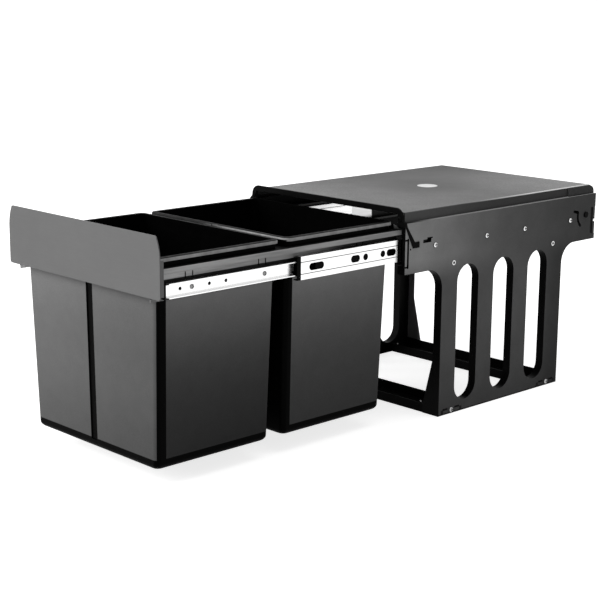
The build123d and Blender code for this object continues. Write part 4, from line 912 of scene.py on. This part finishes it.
def make_eyelets():
    """Rolled eyelets with a thin bright flange."""
    profile = [
        (EYELET_BORE, EYELET_BACK),
        (EYELET_BORE, EYELET_FLARE_DROP),
        (EYELET_BORE + EYELET_FLARE, 0.0),
        (EYELET_RIM - EYELET_ROLL, 0.0),
        (EYELET_RIM - EYELET_EDGE, EYELET_EDGE_DROP),
        (EYELET_RIM, EYELET_SEAT),
        (EYELET_WALL, EYELET_SEAT),
        (EYELET_WALL, EYELET_BACK),
    ]
    mesh = lathe("eyelet", profile, closed=True)
    turns = outward_turns("side_eyelets")
    stand_in("side_eyelets_detail", mesh, turns, "side_eyelets", "frame", "bright_screw")


def make_badge():
    """Bare dished disc with a rolled edge, in the middle of the lid."""
    radius = (BADGE_HIGH[0] - BADGE_LOW[0]) / 2
    height = BADGE_HIGH[2] - BADGE_LOW[2]
    profile = [(0.0, -height), (radius, -height)]
    profile += [(radius - step, -drop * height) for step, drop in BADGE_EDGE]
    profile += [(radius * out, -drop * height) for out, drop in BADGE_DISH]
    mesh = lathe("badge", profile, BADGE_SEGMENTS)
    turns = outward_turns("lid_badge", Vector((0.0, 0.0, 1.0)))
    stand_in("lid_badge_detail", mesh, turns, "lid_badge", "lid", "badge_grey")


def prism(name, section, start, end):
    """Closed mesh of a section of (x, z) points, drawn out along Y from start to end."""
    count = len(section)
    points = [(x, y, z) for y in (start, end) for x, z in section]
    faces = [(i, (i + 1) % count, count + (i + 1) % count, count + i) for i in range(count)]
    faces += [tuple(reversed(range(count))), tuple(range(count, 2 * count))]
    mesh = bpy.data.meshes.new(name)
    mesh.from_pydata(points, [], faces)
    work = bmesh.new()
    work.from_mesh(mesh)
    bmesh.ops.recalc_face_normals(work, faces=work.faces)
    work.to_mesh(mesh)
    work.free()
    return mesh


def make_rear_ridge():
    """Low ridge with rounded corners along the back of the carrier."""
    half = CARRIER_HIGH[0] - RIDGE_INSET
    seat = CARRIER_HIGH[2] - RIDGE_SUNK
    crest = CARRIER_HIGH[2] + RIDGE_RISE
    right = [
        (half, seat),
        (half, crest - RIDGE_CORNER),
        (half - RIDGE_CHAMFER, crest - RIDGE_CHAMFER),
        (half - RIDGE_CORNER, crest),
    ]
    left = [(-x, z) for x, z in reversed(right)]
    back = CARRIER_HIGH[1] - RIDGE_BACK
    mesh = prism("carrier_rear_ridge", right + left, back - RIDGE_THICKNESS, back)
    add_piece("carrier_rear_ridge", mesh, MATERIALS["black_plastic"], "carrier")


def make_camera():
    """Camera solved from the photograph's perspective."""
    azimuth = math.radians(CAMERA_AZIMUTH)
    elevation = math.radians(CAMERA_ELEVATION)
    roll = math.radians(CAMERA_ROLL)
    level = math.cos(elevation)
    back = Vector((math.sin(azimuth) * level, -math.cos(azimuth) * level, math.sin(elevation)))
    right = (-back).cross(Vector((0, 0, 1))).normalized()
    up = right.cross(-back)
    across = right * math.cos(roll) + up * math.sin(roll)
    upward = up * math.cos(roll) - right * math.sin(roll)
    data = bpy.data.cameras.new("camera")
    data.sensor_fit = "HORIZONTAL"
    data.sensor_width = SENSOR_WIDTH
    data.lens = FOCAL_PIXELS / IMAGE_WIDTH * SENSOR_WIDTH
    data.clip_end = CAMERA_REACH
    camera = bpy.data.objects.new("camera", data)
    SCENE.collection.objects.link(camera)
    turn = Matrix((across, upward, back)).transposed().to_4x4()
    camera.matrix_world = Matrix.Translation(CAMERA_PLACE) @ turn
    SCENE.camera = camera


def seen_mask(tree):
    """1 for rays that the camera, gloss or glass sends out."""
    path = tree.nodes.new("ShaderNodeLightPath")
    mask = path.outputs["Is Camera Ray"]
    for name in ("Is Glossy Ray", "Is Transmission Ray"):
        either = tree.nodes.new("ShaderNodeMath")
        either.operation = "MAXIMUM"
        link(tree, mask, either.inputs[0])
        link(tree, path.outputs[name], either.inputs[1])
        mask = either.outputs[0]
    return mask


def floor_paint(name):
    """Pale floor that reads as white and keeps the object's shadow, with a weaker glow near the object
    as painted shade.
    """
    nodes = Nodes(name)
    tree = nodes.tree
    tree.nodes.remove(nodes.shader)
    diffuse = tree.nodes.new("ShaderNodeBsdfDiffuse")
    diffuse.inputs["Color"].default_value = (FLOOR_TONE, FLOOR_TONE, FLOOR_TONE, 1.0)
    distance = tree.nodes.new("ShaderNodeVectorMath")
    distance.operation = "DISTANCE"
    link(tree, nodes.place, distance.inputs[0])
    distance.inputs[1].default_value = FLOOR_CENTRE
    # painted shade: the glow is weaker near the object
    strength = nodes.ramp(distance.outputs["Value"], *FLOOR_GLOW_REACH, *FLOOR_GLOW)
    glow = tree.nodes.new("ShaderNodeEmission")
    link(tree, nodes.times(strength, seen_mask(tree)), glow.inputs["Strength"])
    total = tree.nodes.new("ShaderNodeAddShader")
    link(tree, diffuse.outputs[0], total.inputs[0])
    link(tree, glow.outputs[0], total.inputs[1])
    link(tree, total.outputs[0], tree.nodes["Material Output"].inputs["Surface"])
    return nodes.material


def make_floor():
    """Wide floor that the object stands on."""
    mesh = bpy.data.meshes.new("floor")
    corners = [(-1, -1), (1, -1), (1, 1), (-1, 1)]
    mesh.from_pydata([(FLOOR_HALF * x, FLOOR_HALF * y, 0) for x, y in corners], [], [(0, 1, 2, 3)])
    mesh.materials.append(floor_paint("floor_white"))
    floor = bpy.data.objects.new("floor", mesh)
    SCENE.collection.objects.link(floor)


def make_world():
    """White surroundings for what the camera and gloss see, softer light for the rest."""
    world = bpy.data.worlds.new("studio")
    SCENE.world = world
    world.use_nodes = True
    tree = world.node_tree
    tree.nodes.clear()
    output = tree.nodes.new("ShaderNodeOutputWorld")
    ground = tree.nodes.new("ShaderNodeBackground")
    level = tree.nodes.new("ShaderNodeMapRange")
    ground.inputs["Color"].default_value = (1.0, 1.0, 1.0, 1.0)
    level.inputs["To Min"].default_value = WORLD_LIGHT
    level.inputs["To Max"].default_value = 1.0
    link(tree, seen_mask(tree), level.inputs["Value"])
    link(tree, level.outputs["Result"], ground.inputs["Strength"])
    link(tree, ground.outputs[0], output.inputs["Surface"])


def make_lamps():
    """Square area lamps, turned to face the object."""
    for lamp in LAMPS:
        data = bpy.data.lights.new(lamp.name, "AREA")
        data.shape = "SQUARE"
        data.size = lamp.size
        data.energy = lamp.power
        softbox = bpy.data.objects.new(lamp.name, data)
        SCENE.collection.objects.link(softbox)
        softbox.location = lamp.place
        way = Vector(LAMP_AIM) - Vector(lamp.place)
        softbox.rotation_euler = way.to_track_quat("-Z", "Y").to_euler()


dress_nodes()
make_screws()
make_eyelets()
make_badge()
make_rear_ridge()
make_camera()
make_floor()
make_world()
make_lamps()

SCENE.view_settings.view_transform = "Standard"
